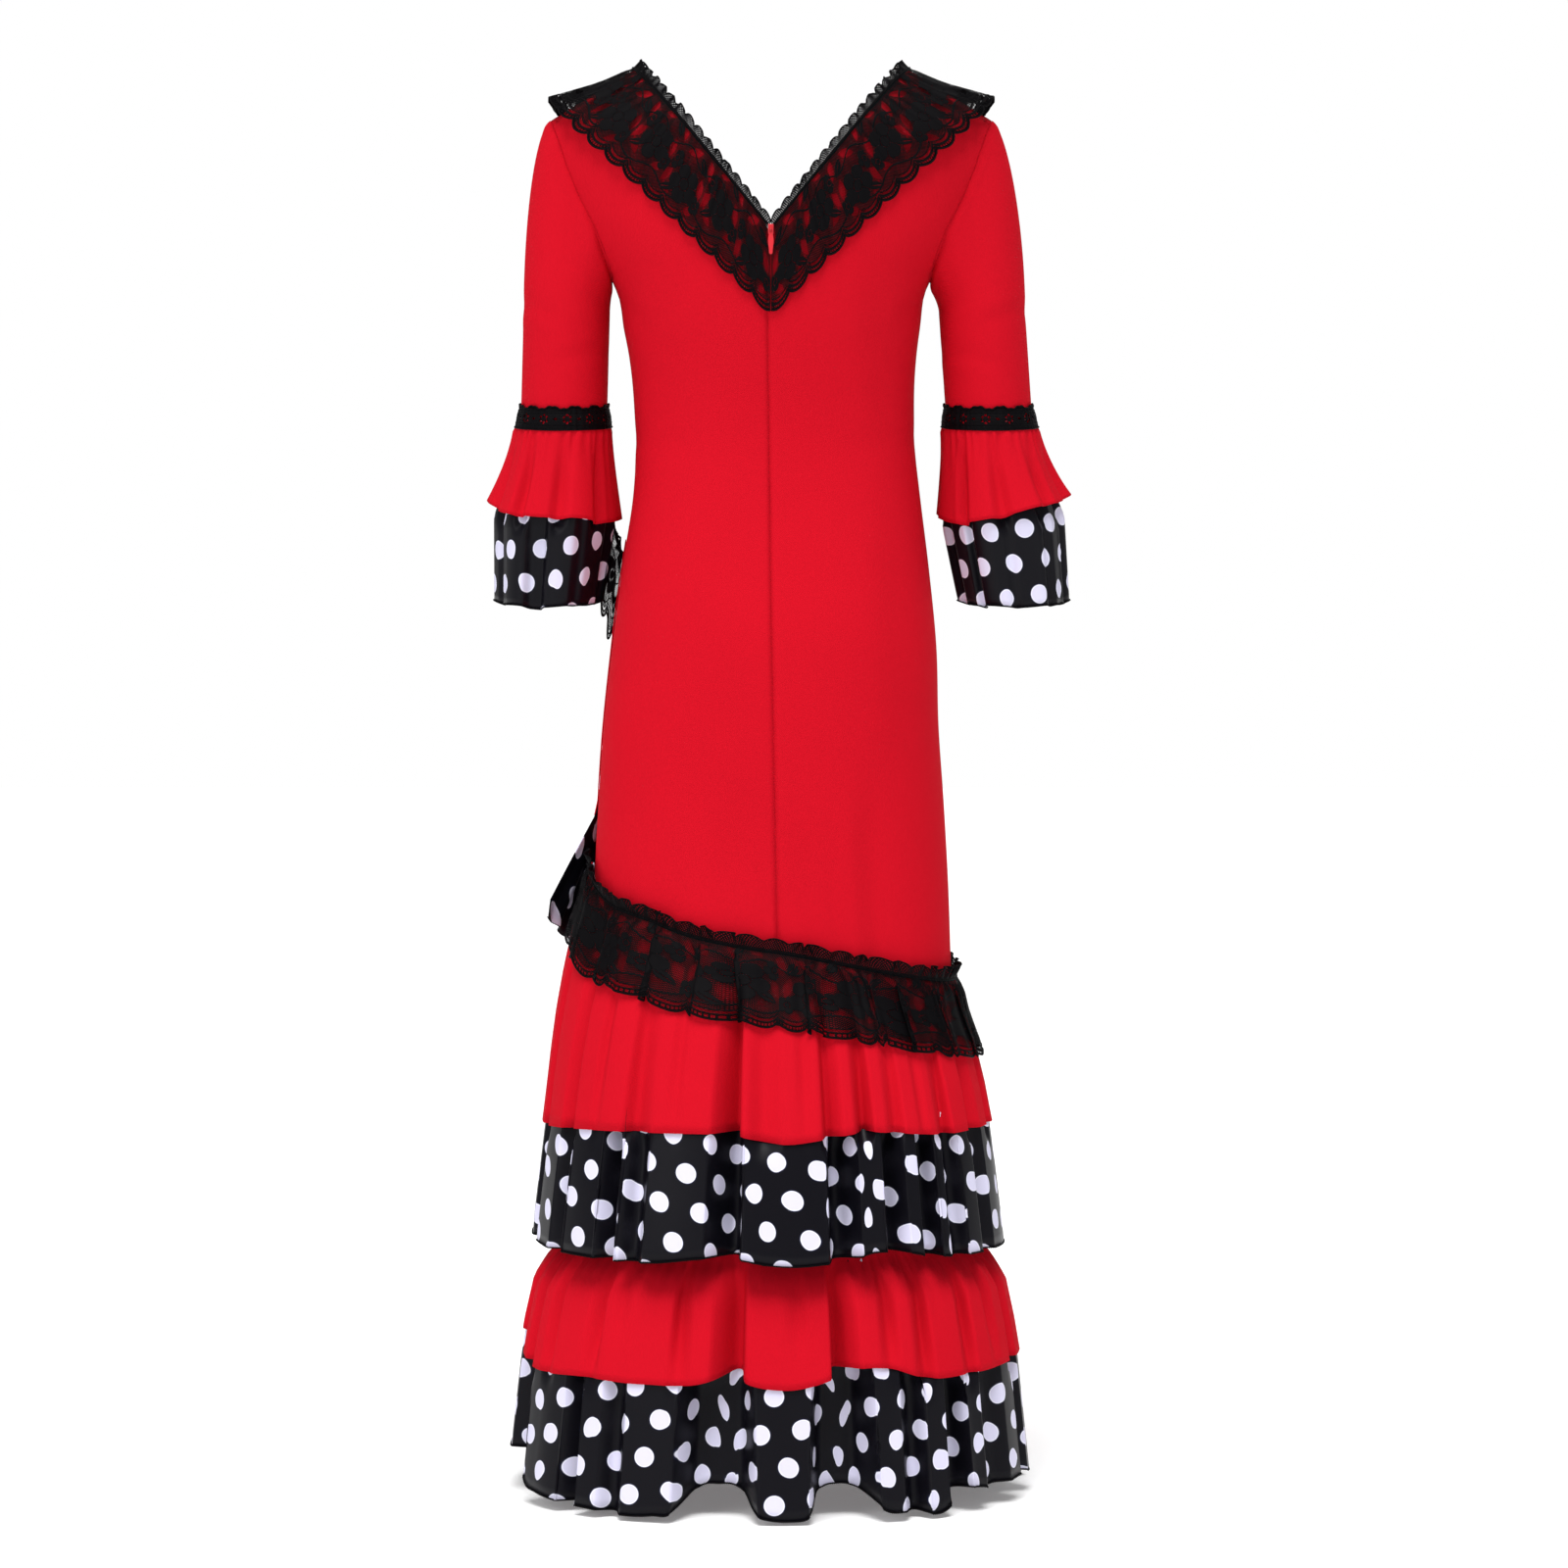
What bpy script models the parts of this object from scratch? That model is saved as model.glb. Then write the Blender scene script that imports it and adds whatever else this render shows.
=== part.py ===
"""A flamenco dress, filled out as if worn: a close red body with a deep V back,
lace along the neckline, three-quarter sleeves with flounced cuffs, and flounced tiers.

Metres, +Z up.  The origin lies between the shoulders, where the wearer carries the dress.
The back faces -Y and the wearer's right is +X.  The tables below are in millimetres.
"""
import math
from collections import namedtuple

import bmesh
import bpy
import numpy as np
from mathutils import Matrix

MM = 0.001
CLOTH_WALL = 1.2
LACE_WALL = 1.0
SEAM_GAP = 0.3
ROUNDNESS = 0.87        # power of sine and cosine that squares the body's sections a little

# Level sections of the body and its skirt, from the hem of the skirt up to the neck.
Section = namedtuple("Section", "z half_width back front centre")
BODY = [
    Section(-1330, 198, 160, 150, -2),
    Section(-1066, 183, 146, 134, -1),
    Section(-950, 175, 135, 124, 0),
    Section(-835, 169, 125, 115, 0),
    Section(-748, 166, 119, 109, 0),
    Section(-675, 162, 118, 106, 0),
    Section(-601, 157, 120, 104, 0),
    Section(-527, 152, 119, 102, 3),
    Section(-454, 144, 108, 97, 4),
    Section(-380, 134, 95, 92, 5),
    Section(-343, 131, 92, 93, 4),
    Section(-306, 131, 94, 97, 3),
    Section(-270, 133, 100, 106, 2),
    Section(-233, 138, 107, 114, 1),
    Section(-185, 149, 111, 106, 0),
    Section(-140, 178, 111, 100, 0),
    Section(-100, 197, 108, 93, 0),
    Section(-54, 220, 101, 86, 0),
    Section(20, 262, 90, 78, 0),
]

# Neckline of the cloth and armhole seam, as distance from the centre at each height.
NECK_POINT = (129, 14)
SHOULDER_POINT = (207, -33)
BACK_V = -146
FRONT_V = -178
ARMPIT = (149, -185)
SHOULDER_ROLL = 110     # height over which the shoulder rounds from back to front
ARMHOLE_Z = [-185, -175, -166, -140, -109, -82, -54, -33]
ARMHOLE_X = [149, 150.5, 153, 163, 179, 190, 199, 207]
CENTRE_SEAM_Z = [-1066, -794, -472, -224]
CENTRE_SEAM_X = [7, 6, 0, -3]

BODY_ROWS = [-1066, -985, -895, -820, -750, -675, -600, -530, -470, -425,
             -385, -345, -305, -270, -240]
YOKE_ROWS = 6
PANEL_COLUMNS = 8
SIDE_GAP = 0.33         # half of the gap along the side and shoulder seams
WELD = 0.02             # points nearer than this are one

# Lace along the neckline: width at the centre and at the shoulder, and the scalloped edge.
COLLAR_DROP = 80
COLLAR_END = (200, -28)
COLLAR_LIFT = 13
COLLAR_CLEAR = 0.6
COLLAR_REST = 1.2       # how far the middle of the lace stands off the cloth
COLLAR_ROWS = [0, 0.3, 0.65]
SCALLOP_PITCH = 23
SCALLOP_DEPTH = 6

# Flounced tiers.  A tier stands out from the body by an amount that grows below its seam.
Fold = namedtuple("Fold", "angle half_width depth lean")
Tier = namedtuple("Tier", "seam stand_drop stand_out back_out front_out folds lift")

TIER1_SEAM = [(-90, -729), (-57, -766), (-37, -779), (-25, -790), (0, -806), (26, -822),
              (45, -831), (90, -835), (135, -812), (180, -780), (225, -750), (270, -729)]
TIER1_FOLDS = [
    Fold(-83, 6, 0.45, 0), Fold(-68, 6, 0.60, 2), Fold(-55, 6, 0.50, -2), Fold(-40, 5, 0.30, 0),
    Fold(-28, 6, 0.45, 2), Fold(-10.5, 6, 0.92, 4), Fold(4, 5, 0.35, 0), Fold(18.5, 6, 0.88, -3),
    Fold(30, 4.5, 0.40, 1), Fold(42, 6, 0.60, 2), Fold(55, 6, 0.45, 0), Fold(72, 7, 0.55, -2),
    Fold(92, 7, 0.50, 2), Fold(112, 7, 0.65, -3), Fold(131, 7, 0.55, 2), Fold(150, 7, 0.80, 3),
    Fold(169, 7, 0.50, 0), Fold(188, 7, 0.75, -3), Fold(207, 7, 0.55, 2), Fold(226, 7, 0.70, 3),
    Fold(246, 7, 0.50, -2),
]
TIER2_SEAM = [(-90, -1058), (270, -1058)]
TIER2_FOLDS = [
    Fold(-80, 6, 0.50, 2), Fold(-66, 6, 0.60, -2), Fold(-46, 6, 0.55, 2), Fold(-33, 5, 0.35, 0),
    Fold(-11, 8, 0.95, 3), Fold(4, 4, 0.20, 0), Fold(17, 8, 0.95, -3), Fold(35, 6, 0.45, 2),
    Fold(48, 7, 0.75, 3), Fold(65, 6, 0.55, -2), Fold(82, 6, 0.50, 0), Fold(101, 8, 0.75, 3),
    Fold(121, 7, 0.60, -2), Fold(141, 8, 0.85, 3), Fold(160, 7, 0.55, 0), Fold(180, 8, 0.85, -3),
    Fold(200, 7, 0.60, 2), Fold(219, 8, 0.80, 3), Fold(237, 7, 0.50, 0), Fold(255, 7, 0.65, -2),
]
HIP_SEAM = [(-240, -764), (-225, -740), (-180, -640), (-135, -522), (-94, -418)]
HIP_FOLDS = [
    Fold(-102, 5, 0.40, 0), Fold(-114, 6, 0.60, -2), Fold(-128, 6, 0.55, 2),
    Fold(-143, 7, 0.70, 3), Fold(-158, 7, 0.55, -2), Fold(-174, 7, 0.70, 2),
    Fold(-190, 7, 0.60, 0), Fold(-206, 7, 0.55, -2), Fold(-222, 6, 0.45, 2),
]
TIER1 = Tier(TIER1_SEAM, [0, 30, 60, 97, 134, 170, 240, 320], [3.6, 10, 19, 26, 31, 34, 38, 41],
             1.55, 1.10, TIER1_FOLDS, 6)
TIER2 = Tier(TIER2_SEAM, [0, 23, 40, 58, 95, 130, 245, 280], [3.5, 11, 25, 35, 41, 45, 51, 52],
             1.05, 1.00, TIER2_FOLDS, 32)
HIP = Tier(HIP_SEAM, [0, 35, 70, 110, 160, 260, 363, 400], [4, 8, 14, 24, 33, 41, 47, 48],
           1.15, 1.15, HIP_FOLDS, 5)
HIP_HELD_DROP = [0, 35, 255, 340, 400]     # its end is caught in the left side seam, down to
HIP_HELD_OUT = [4, 7.5, 8, 45, 50]          # where the spotted flounce flares out
HIP_FREE = 150          # the angle from the back at which it hangs free of that seam

# Lower edges, as height of the hem at each angle round the body.
TIER1_LACE_WIDTH = [(-90, 70), (0, 68), (90, 72), (180, 70), (270, 70)]
TIER1_RED_HEM = [(-90, -974), (0, -976), (90, -974), (180, -972), (270, -974)]
TIER1_DOT_HEM = [(-90, -1075), (0, -1083), (90, -1086), (180, -1081), (270, -1075)]
TIER2_RED_HEM = [(-90, -1172), (-60, -1184), (0, -1188), (90, -1192), (180, -1186), (270, -1172)]
TIER2_DOT_HEM = [(-90, -1277), (-60, -1296), (0, -1307), (90, -1309), (180, -1300), (270, -1277)]
HIP_LACE_WIDTH = [(-240, 26), (-225, 50), (-180, 70), (-135, 72), (-94, 72)]
HIP_RED_WIDTH = [(-240, 30), (-225, 60), (-180, 165), (-135, 225), (-94, 262)]
HIP_DOT_WIDTH = [(-240, 36), (-225, 76), (-180, 230), (-135, 310), (-94, 360)]
LACE_EDGE_LIFT = 0.6    # the scalloped edge stands a little off the cloth under it
HEADING = 10            # how far the lace stands above its own stitching
LAYER_GAP = 5           # between a red flounce and the spotted one under it
LAYER_DROP = 40         # the depth below the seam at which that gap is reached
SHARED_DROPS = [(0, 0), (30, 0.4), (70, 0.75)]  # rows of all the layers: depth, most share of it
DEEP_FOLD = 0.62        # folds deeper than this get more points

# Sleeves and cuffs, one row a side.
Sleeve = namedtuple("Sleeve", "side tube_x cuff_x red_hem_x red_radius dot_hem_x dot_radius")
SLEEVES = {
    "left": Sleeve(-1, -192, -195, -204, 57, -210, 51),
    "right": Sleeve(1, 198, 205, 218, 58, 229, 52),
}
TUBE_RADIUS_X = 40.5
TUBE_RADIUS_Y = 46
TUBE_TOP = -215
CUFF_SEAM = -312
ARM_LEAN = 26           # how far forward of the shoulder the arm is at the cuff's hem
RED_CUFF_LENGTH = 93
DOT_CUFF_LENGTH = 172
CUFF_WAVES = 6
CUFF_WAVE_DEPTH = 6
CUFF_TILT = 0.12        # how much lower the back of the cuff's rings is, for the bent arm
BAND_ABOVE = 12
BAND_BELOW = 8
CUFF_SETTLED = 60       # depth at which the spotted layer hangs clear of the red one
CUFF_LOOSE = 0.25       # air between the layers where they are sewn to the sleeve
SLEEVE_SHARES = (0, 0.16, 0.36, 0.64, 1)        # rings from the armhole to the straight sleeve
SLEEVE_LEAVE = (16, 0, -15)     # how the sleeve sets off from the shoulder, and from the armpit
ARMPIT_LEAVE = (0, 0, -9)
SHOULDER_EASE = 0.6
SLEEVE_POINTS = 18
CUFF_POINTS = 24

# Zip slider and pull tab.
SLIDER = (5.0, 2.0, 9.0)
SLIDER_Z = -147.0
SLIDER_STAND = 2.2      # clear of the ends of the lace
SLIDER_EDGE = 0.5
BAIL_RADIUS = 1.7
BAIL_WIRE = 0.5
BAIL_SUNK = 0.6         # how far the bail is sunk in the slider
PULL_LENGTH = 24.0
PULL_WIDTH = 5.2
PULL_THICKNESS = 1.0
PULL_SHOULDER = 2.0     # from the hinge to where the tab's sides start
PULL_NECK = 0.62        # its narrowest width, as a share of its widest
PULL_TOP_SHARE = 0.88
PULL_STEPS = 8
PULL_TIP_STEPS = 6
EYE_WIDTH = 2.6
EYE_LENGTH = 3.4

RED = (0.760, 0.012, 0.026)
BLACK = (0.006, 0.005, 0.009)
LACE_BLACK = (0.008, 0.006, 0.007)


def smooth(table, at):
    """Read a table of (key, value) rows at any places, along a cubic through its rows."""
    keys, values = np.array(table, float).T
    slopes = np.gradient(values, keys)
    at = np.clip(np.asarray(at, float), keys[0], keys[-1])
    row = np.clip(np.searchsorted(keys, at) - 1, 0, len(keys) - 2)
    step = keys[row + 1] - keys[row]
    t = (at - keys[row]) / step
    rise = (3 - 2 * t) * t * t
    start_slope = t * (1 - t) ** 2 * step * slopes[row]
    end_slope = t * t * (t - 1) * step * slopes[row + 1]
    return values[row] * (1 - rise) + values[row + 1] * rise + start_slope + end_slope


def smoothstep(low, high, at):
    t = np.clip((np.asarray(at, float) - low) / (high - low), 0, 1)
    return t * t * (3 - 2 * t)


def section(column, z):
    """One column of the body's sections at any heights."""
    return smooth([(row.z, getattr(row, column)) for row in BODY], z)


def shoulder_line(x):
    slope = (SHOULDER_POINT[1] - NECK_POINT[1]) / (SHOULDER_POINT[0] - NECK_POINT[0])
    return NECK_POINT[1] + slope * (np.abs(x) - NECK_POINT[0])


def shoulder_round(x, z):
    """1 on the body, falling to 0 on the shoulder seam."""
    rise = np.clip((z - shoulder_line(x) + SHOULDER_ROLL) / SHOULDER_ROLL, 0, 1)
    return np.sqrt(1 - rise * rise)


def body_depth(x, z, face):
    """Y of the cloth at x and z, on its back (face -1) or front (face 1)."""
    reach = np.clip(np.abs(x - section("centre", z)) / section("half_width", z), 0, 1)
    bulge = (1 - reach ** (2 / ROUNDNESS)) ** (ROUNDNESS / 2)
    return face * section("back" if face < 0 else "front", z) * bulge * shoulder_round(x, z)


def stack(x, y, z):
    return np.stack(np.broadcast_arrays(x, y, z), axis=-1).astype(float)


def half_panel(side, face, inner_gap):
    """Rows of points on one quarter of the body, from its centre line out to the side seam."""
    bottom_v = BACK_V if face < 0 else FRONT_V
    rows = [(z, z) for z in BODY_ROWS]
    rows.append(((bottom_v + BODY_ROWS[-1]) / 2 - 5, (ARMPIT[1] + BODY_ROWS[-1]) / 2 - 2))
    for step in range(YOKE_ROWS + 1):
        up = 1 - (1 - step / YOKE_ROWS) ** 2
        rows.append((bottom_v + up * (NECK_POINT[1] - bottom_v),
                     ARMPIT[1] + up * (SHOULDER_POINT[1] - ARMPIT[1])))
    grid = []
    for z_in, z_out in rows:
        if z_in <= bottom_v:
            x_in = np.interp(z_in, CENTRE_SEAM_Z, CENTRE_SEAM_X) * (face < 0) + side * inner_gap
        else:
            x_in = side * (NECK_POINT[0] * (z_in - bottom_v) / (NECK_POINT[1] - bottom_v))
            x_in += side * inner_gap
        centre = section("centre", z_out)
        half = section("half_width", z_out)
        x_out = centre + side * half
        if z_out > ARMPIT[1]:
            x_out = side * np.interp(z_out, ARMHOLE_Z, ARMHOLE_X)
        turn_in = math.asin(np.clip(side * (x_in - centre) / half, -1, 1))
        turn_out = math.asin(np.clip(side * (x_out - centre) / half, -1, 1))
        turn = np.linspace(turn_in, turn_out, PANEL_COLUMNS + 1)
        x = centre + side * half * np.sin(turn)
        share = (x - x_in) / (x_out - x_in)
        z = z_in + (z_out - z_in) * share
        if z_out == SHOULDER_POINT[1]:
            z = shoulder_line(x)
        grid.append(stack(x, body_depth(x, z, face) + face * SIDE_GAP, z))
    return np.array(grid)


def grid_normals(grid, closed):
    """Unit normals of a grid of points, from its own rows and columns."""
    along = np.gradient(grid, axis=0)
    if closed:
        around = np.roll(grid, -1, axis=1) - np.roll(grid, 1, axis=1)
    else:
        around = np.gradient(grid, axis=1)
    normal = np.cross(around, along)
    return normal / np.maximum(np.linalg.norm(normal, axis=-1, keepdims=True), 1e-9)


def outward(grid, closed, axis_point=None):
    """1 where the grid's own normals point away from the middle of each row, else -1."""
    middle = grid.mean(axis=1, keepdims=True) if axis_point is None else np.array(axis_point)
    away = grid - middle
    away[..., 2] = 0
    return 1 if (grid_normals(grid, closed) * away).sum() > 0 else -1


def material(name, colour, roughness):
    made = bpy.data.materials.new(name)
    made.use_nodes = True
    shader = made.node_tree.nodes["Principled BSDF"]
    shader.inputs["Base Color"].default_value = (*colour, 1)
    shader.inputs["Roughness"].default_value = roughness
    shader.inputs["Metallic"].default_value = 0
    made.diffuse_color = (*colour, 1)
    return made


def add_face(work, corners, flip):
    work.faces.new(corners[::-1] if flip else corners)


def add_cloth(name, grids, closed, wall, finish, axis_point=None, edge=None):
    """A cloth wall: its outer points as one mesh, thickened inwards.

    An edge is a last row with twice as many points, for scallops.
    """
    work = bmesh.new()
    for grid in grids:
        count = grid.shape[1]
        rows = [[work.verts.new(point * MM) for point in row] for row in grid]
        flip = outward(grid, closed, axis_point) < 0
        spans = range(count if closed else count - 1)
        for upper, lower in zip(rows, rows[1:]):
            for i in spans:
                j = (i + 1) % count
                add_face(work, (upper[i], upper[j], lower[j]), flip)
                add_face(work, (upper[i], lower[j], lower[i]), flip)
        if edge is not None:
            fine = [work.verts.new(point * MM) for point in edge]
            for i in spans:
                j = (i + 1) % count
                add_face(work, (rows[-1][i], rows[-1][j], fine[2 * j]), flip)
                add_face(work, (rows[-1][i], fine[2 * j], fine[2 * i + 1]), flip)
                add_face(work, (rows[-1][i], fine[2 * i + 1], fine[2 * i]), flip)
    bmesh.ops.remove_doubles(work, verts=work.verts, dist=WELD * MM)
    mesh = bpy.data.meshes.new(name)
    work.to_mesh(mesh)
    work.free()
    mesh.materials.append(finish)
    mesh.shade_smooth()
    piece = bpy.data.objects.new(name, mesh)
    dress.objects.link(piece)
    thicken = piece.modifiers.new("wall", "SOLIDIFY")
    thicken.thickness = wall * MM
    thicken.offset = -1
    thicken.use_quality_normals = True
    return piece


def build_panels(red):
    for name, side in (("back_left", -1), ("back_right", 1)):
        add_cloth(name, [half_panel(side, -1, SEAM_GAP / 2)], False, CLOTH_WALL, red, (0, 0, 0))
    halves = [half_panel(side, 1, 0) for side in (-1, 1)]
    add_cloth("front", halves, False, CLOTH_WALL, red, (0, 0, 0))


def armhole(side, turn):
    """The armhole seam: 0 is the shoulder, 90 the back, 180 the armpit and 270 the front."""
    climb = (1 + np.cos(turn)) / 2
    z = ARMPIT[1] + (SHOULDER_POINT[1] - ARMPIT[1]) * climb
    x = side * np.interp(z, ARMHOLE_Z, ARMHOLE_X)
    back = body_depth(x, z, -1)
    front = body_depth(x, z, 1)
    return stack(x, np.where(np.sin(turn) > 0, back, front), z)


def arm_centre(arm, z):
    """Middle of the sleeve at a height, leaning forward below the elbow."""
    x = np.interp(z, [CUFF_SEAM, TUBE_TOP], [arm.cuff_x, arm.tube_x])
    lean = ARM_LEAN * smoothstep(-200, -520, z)
    return x, lean


def tube_ring(arm, turn, z, grow=0.0):
    x, y = arm_centre(arm, z)
    out = np.cos(turn) * arm.side
    return stack(x + (TUBE_RADIUS_X + grow) * out, y - (TUBE_RADIUS_Y + grow) * np.sin(turn), z)


def tilted(ring, turn, radius):
    """A ring with its back dipped, square to the bent arm."""
    ring = ring.copy()
    ring[..., 2] -= CUFF_TILT * radius * np.sin(turn)
    return ring


def build_sleeve(name, arm, red):
    """Set in at the armhole, then straight down to the cuff."""
    turn = np.radians(np.arange(SLEEVE_POINTS) * 360 / SLEEVE_POINTS)
    start = armhole(arm.side, turn)
    ease = SHOULDER_EASE * np.maximum(np.cos(turn), 0) ** 2
    start[:, 0] += arm.side * (SEAM_GAP * 1.5 + ease)
    start[:, 2] -= SEAM_GAP * (1 - np.cos(turn)) / 2
    end = tube_ring(arm, turn, TUBE_TOP)
    low = ((1 - np.cos(turn)) / 2)[:, None]
    leave = np.array(SLEEVE_LEAVE) * (arm.side, 1, 1) * (1 - low) + np.array(ARMPIT_LEAVE) * low
    arrive = np.array([0, 0, 1.0]) * np.maximum(start[:, 2:] - end[:, 2:], 10) * 0.42
    rings = []
    for t in SLEEVE_SHARES:
        rings.append(start * (1 - t) ** 3 + (start + leave) * 3 * t * (1 - t) ** 2
                     + (end + arrive) * 3 * t * t * (1 - t) + end * t ** 3)
    rings.append(tube_ring(arm, turn, (TUBE_TOP + CUFF_SEAM) / 2))
    rings.append(tilted(tube_ring(arm, turn, CUFF_SEAM - 1.5), turn, TUBE_RADIUS_Y))
    add_cloth(name, [np.array(rings)], True, CLOTH_WALL, red)


def cuff_rows(arm, drops, layer, settled):
    """Rows of a gathered cuff flounce, wavy below; layer is its place in the stack at its seam,
    settled how far it then falls in."""
    turn = np.radians(np.arange(CUFF_POINTS) * 360 / CUFF_POINTS)
    rows = []
    for drop in drops:
        z = CUFF_SEAM - drop
        flare = np.interp(drop, [0, RED_CUFF_LENGTH, DOT_CUFF_LENGTH], [0, 1, 2])
        shape = min(flare, 1) ** 1.15
        beyond = max(flare - 1, 0)
        centre_x = np.interp(shape + beyond, [0, 1, 2], [arm.cuff_x, arm.red_hem_x, arm.dot_hem_x])
        grown = np.interp(shape + beyond, [0, 1, 2],
                          [0, arm.red_radius - TUBE_RADIUS_X, arm.dot_radius - TUBE_RADIUS_X])
        wave = CUFF_WAVE_DEPTH * min(flare, 1) * np.cos(CUFF_WAVES * turn + 0.6)
        out = grown + wave + layer * (CLOTH_WALL + SEAM_GAP) + CUFF_LOOSE
        out -= settled * smoothstep(0, CUFF_SETTLED, drop)
        x = centre_x + arm.side * (TUBE_RADIUS_X + out) * np.cos(turn)
        y = arm_centre(arm, z)[1] - (TUBE_RADIUS_Y + out) * np.sin(turn)
        rows.append(tilted(stack(x, y, z + 0.25 * wave), turn, TUBE_RADIUS_Y + out))
    return rows


def build_cuffs(side_name, arm, red, spotted, lace):
    red_rows = cuff_rows(arm, (0, 8, 45, RED_CUFF_LENGTH), 2, 0)
    dot_rows = cuff_rows(arm, (0, 8, 45, RED_CUFF_LENGTH, DOT_CUFF_LENGTH), 1, LAYER_GAP)
    add_cloth("cuff_red_" + side_name, [np.array(red_rows)], True, CLOTH_WALL, red)
    add_cloth("cuff_dot_" + side_name, [np.array(dot_rows)], True, CLOTH_WALL, spotted)
    turn = np.radians(np.arange(CUFF_POINTS) * 360 / CUFF_POINTS)
    thickness = LACE_WALL + SEAM_GAP
    top = tube_ring(arm, turn, CUFF_SEAM + BAND_ABOVE, thickness + 0.2)
    top = tilted(top, turn, TUBE_RADIUS_Y)
    band_layer = 2 + thickness / (CLOTH_WALL + SEAM_GAP) + 0.1
    band = [top] + cuff_rows(arm, (0, BAND_BELOW), band_layer, 0)
    add_cloth("sleeve_band_" + side_name, [np.array(band)], True, LACE_WALL, lace)


def tier_base(tier, degrees, drop, core=None):
    """Points of a tier's outermost cloth at angles round the body and drops below its seam."""
    turn = np.radians(degrees)
    seam = smooth(tier.seam, wrap(tier, degrees))
    z = seam - drop
    stand = np.interp(drop, tier.stand_drop, tier.stand_out)
    back = np.cos(turn) > 0
    facing = 1 + (np.where(back, tier.back_out, tier.front_out) - 1) * np.cos(turn) ** 2
    stand = tier.stand_out[0] + (stand - tier.stand_out[0]) * facing
    if tier is HIP:
        held = np.interp(drop, HIP_HELD_DROP, HIP_HELD_OUT)
        stand = held + (stand - held) * smoothstep(-HIP_SEAM[-1][0], HIP_FREE, -degrees)
    room = stand - core(degrees, z) - (LAYER_GAP + CLOTH_WALL) * smoothstep(0, LAYER_DROP, drop)
    half = section("half_width", z) + stand
    deep = section("back", z) * back + section("front", z) * ~back + stand
    x = section("centre", z) + half * np.sign(np.sin(turn)) * np.abs(np.sin(turn)) ** ROUNDNESS
    y = -deep * np.sign(np.cos(turn)) * np.abs(np.cos(turn)) ** ROUNDNESS
    normal = stack(np.sin(turn) * deep, -np.cos(turn) * half, 0 * x)
    normal /= np.linalg.norm(normal, axis=-1, keepdims=True)
    tangent = stack(-normal[..., 1], normal[..., 0], 0 * x)
    depth = np.zeros_like(x)
    lean = np.zeros_like(x)
    for fold in tier.folds:
        away = (degrees - fold.angle + 180) % 360 - 180
        near = np.clip(np.abs(away) / fold.half_width, 0, 1)
        bump = 0.5 + 0.5 * np.cos(np.pi * near)
        depth += fold.depth * bump
        lean += fold.lean * bump
    room = np.maximum(room, 0)
    grown = smoothstep(0, 60, drop)
    points = stack(x, y, z) - normal * (depth * room)[..., None]
    points += tangent * (lean * grown)[..., None]
    points[..., 2] += tier.lift * depth * smoothstep(40, 240, drop)
    return points


def wrap(tier, degrees):
    """Angles brought into the range of the tier's own seam table."""
    first, last = tier.seam[0][0], tier.seam[-1][0]
    if last - first < 360:
        return degrees
    return (np.asarray(degrees) - first) % 360 + first


def tier_points(tier, degrees, drop, inset, core=None):
    """The same cloth, set in or out by true distance across its folds."""
    turn = 0.25
    step = 1.0
    here = tier_base(tier, degrees, drop, core)
    along = tier_base(tier, degrees + turn, drop, core) - tier_base(tier, degrees - turn, drop, core)
    above = tier_base(tier, degrees, np.maximum(drop - step, 0), core)
    down = tier_base(tier, degrees, drop + step, core) - above
    out = np.cross(down, along)
    out /= np.maximum(np.linalg.norm(out, axis=-1, keepdims=True), 1e-9)
    return here - out * np.asarray(inset)[..., None]


def stations(folds, first, last, widest):
    """Angles round the body: the foot, slopes and floor of each fold, and an even fill."""
    marks = {first, last}
    for fold in folds:
        shares = (-1, -0.5, 0, 0.5, 1) if fold.depth > DEEP_FOLD else (-0.8, 0, 0.8)
        marks.update(fold.angle + share * fold.half_width for share in shares)
    marks = sorted(mark for mark in marks if first <= mark <= last)
    kept = [marks[0]]
    for mark in marks[1:]:
        if mark - kept[-1] < 1.2 and mark != last:
            continue
        pieces = max(1, math.ceil((mark - kept[-1]) / widest))
        begin = kept[-1]
        kept += [begin + (mark - begin) * (i + 1) / pieces for i in range(pieces)]
    return np.array(kept)


def shared_drops(red_length):
    """The rows above the hems, closer together where a flounce is short."""
    return [np.minimum(drop, share * red_length) for drop, share in SHARED_DROPS]


def flounce(tier, degrees, lengths, under, core):
    """Rows of a flounce from its seam past the given lengths; under is 1 for the lower layer."""
    grid = []
    flat = np.ones_like(degrees)
    for drop in shared_drops(flat * lengths[0]) + lengths:
        settled = smoothstep(0, LAYER_DROP, drop)
        inset = under * (CLOTH_WALL + SEAM_GAP + (LAYER_GAP - CLOTH_WALL - SEAM_GAP) * settled)
        grid.append(tier_points(tier, degrees, drop, inset, core))
    return np.array(grid)


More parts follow.
